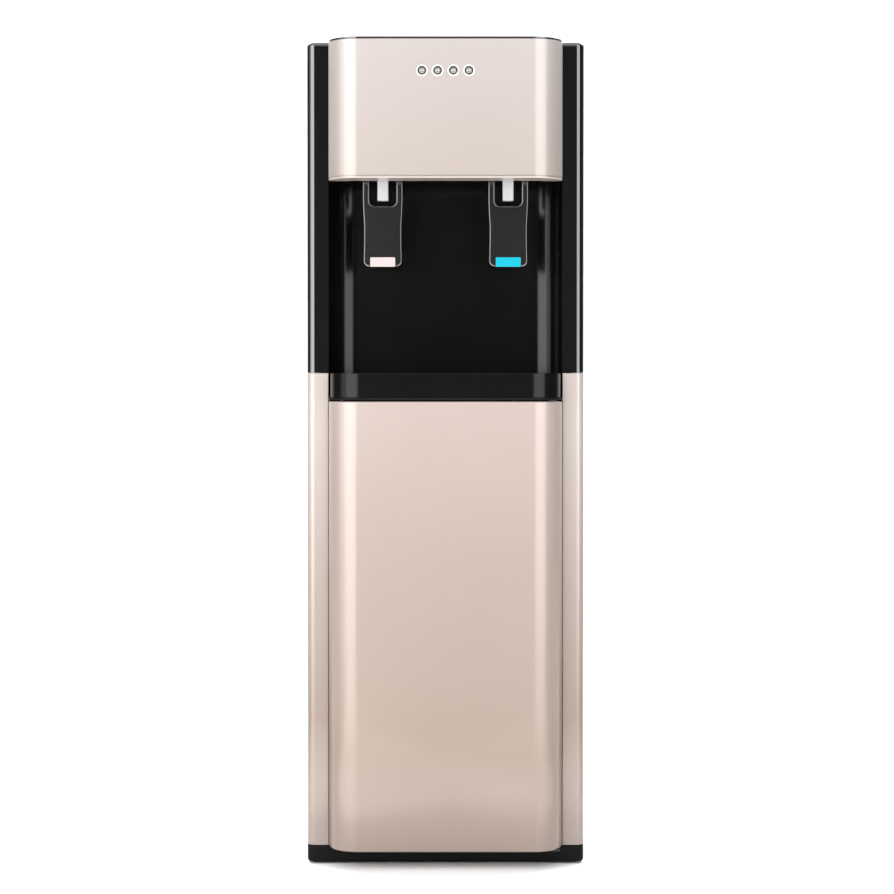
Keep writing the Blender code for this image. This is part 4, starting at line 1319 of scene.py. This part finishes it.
# %% Tanks and hoses
TANK_Y = 0.056
TANKS = (
    ("cold", -0.066, 0.0560, 0.5553, 0.7300, 0.7640, 0.7740),
    ("hot", 0.078, 0.0420, 0.5503, 0.7050, 0.7330, 0.7430),
)
for name, x, radius, bottom, shoulder, neck, top in TANKS:
    seam = radius - 0.0010
    outline = (
        (0.0, bottom), (radius * 0.68, bottom), (radius * 0.92, bottom + 0.0035), (radius, bottom + 0.0090),
        (radius, bottom + 0.0200), (seam, bottom + 0.0206), (seam, bottom + 0.0226), (radius, bottom + 0.0232),
        (radius, shoulder - 0.0160), (seam, shoulder - 0.0154), (seam, shoulder - 0.0134),
        (radius, shoulder - 0.0128), (radius, shoulder), (radius * 0.90, shoulder + 0.0080),
        (radius * 0.55, shoulder + 0.0150), (0.0095, shoulder + 0.0170), (0.0080, shoulder + 0.0200),
        (0.0080, neck), (0.0050, neck), (0.0050, top), (0.0, top),
    )
    can = spin_profile(f"{name}_can", outline, (x, TANK_Y, 0.0), "Z", 64)
    smooth(can, 40)
    stands_for(can, TANK, "polished_steel", "cabinet", f"{name}_tank")
    tube = merged_copy(f"{name}_hose", f"{name}_silicone_hose")
    bpy.ops.mesh.tris_convert_to_quads()
    end()
    apply_modifier(tube, "SUBSURF", levels=1, render_levels=1)
    smooth(tube, 60)
    stands_for(tube, HOSE, "off_white", "cabinet", f"{name}_hose")
print("tanks and hoses done")

# %% The screw that was copied is put away
bpy.data.objects.remove(master_screw, do_unlink=True)
left_over = [n for n in nodes if not nodes[n].hide_render]
print("frame nodes still showing:", left_over)

# %% [markdown]
# ## Studio
# A pale floor meets a pale backdrop. A wide soft panel stands to the left and to the right of the
# front, so that each upright corner carries a long broad highlight while the flat faces, which look
# straight ahead, stay even. A narrow panel further round lights the left edge, and two cards lie
# face up on the floor to carry the highlights down to the foot. Broad lights above and behind open
# the shadows and clear the backdrop.

# %% Floor and backdrop
floor = start_block("floor", (-6.0, -6.0, -0.02), (6.0, 3.0, 0.0))
backdrop = start_block("backdrop", (-6.0, 2.98, -0.02), (6.0, 3.0, 5.0))
PALE = finish("pale studio", (0.97, 0.97, 0.97), (0.96, 0.96, 0.96), (0.7, 0.8), (60.0, 0.05), 0.0)
for sheet in (floor, backdrop):
    paint(sheet, PALE)


def soft_light(name, azimuth, distance, height, size, power, aim_z):
    """A rectangular light on a circle round the machine; azimuth 0 is in front, positive to the right."""
    data = bpy.data.lights.new(name, "AREA")
    data.shape = "RECTANGLE"
    data.size, data.size_y = size
    data.energy = power
    lamp = bpy.data.objects.new(name, data)
    angle = math.radians(azimuth)
    lamp.location = (distance * math.sin(angle), -distance * math.cos(angle), height)
    aim = Vector((0, 0, aim_z)) - lamp.location
    lamp.rotation_euler = aim.to_track_quat("-Z", "Y").to_euler()
    bpy.context.scene.collection.objects.link(lamp)
    return lamp


for light in (
    ("left panel", -33, 1.95, 1.05, (1.50, 2.2), 42, 0.9),
    ("right panel", 32, 1.95, 1.05, (1.35, 2.2), 30, 0.9),
    ("left side panel", -64, 1.95, 1.05, (0.60, 2.2), 7, 0.9),
    ("front card", 0, 3.2, 2.4, (3.0, 1.4), 8, 0.9),
    ("overhead", 0, 0.6, 3.2, (4.0, 4.0), 72, 0.0),
    ("backdrop wash", 180, 1.2, 2.6, (5.0, 1.0), 150, 0.0),
):
    soft_light(*light)
for name, azimuth, power in (("left floor card", -31, 11.0), ("right floor card", 30, 8.0)):
    card = soft_light(name, azimuth, 1.05, 0.012, (0.85, 1.30), power, 0.5)
    card.rotation_euler = (math.pi, 0, math.radians(azimuth))
world = bpy.data.worlds.new("studio air")
bpy.context.scene.world = world
world.use_nodes = True
air = world.node_tree.nodes["Background"]
air.inputs["Color"].default_value = (1.0, 1.0, 1.0, 1.0)
air.inputs["Strength"].default_value = 0.06
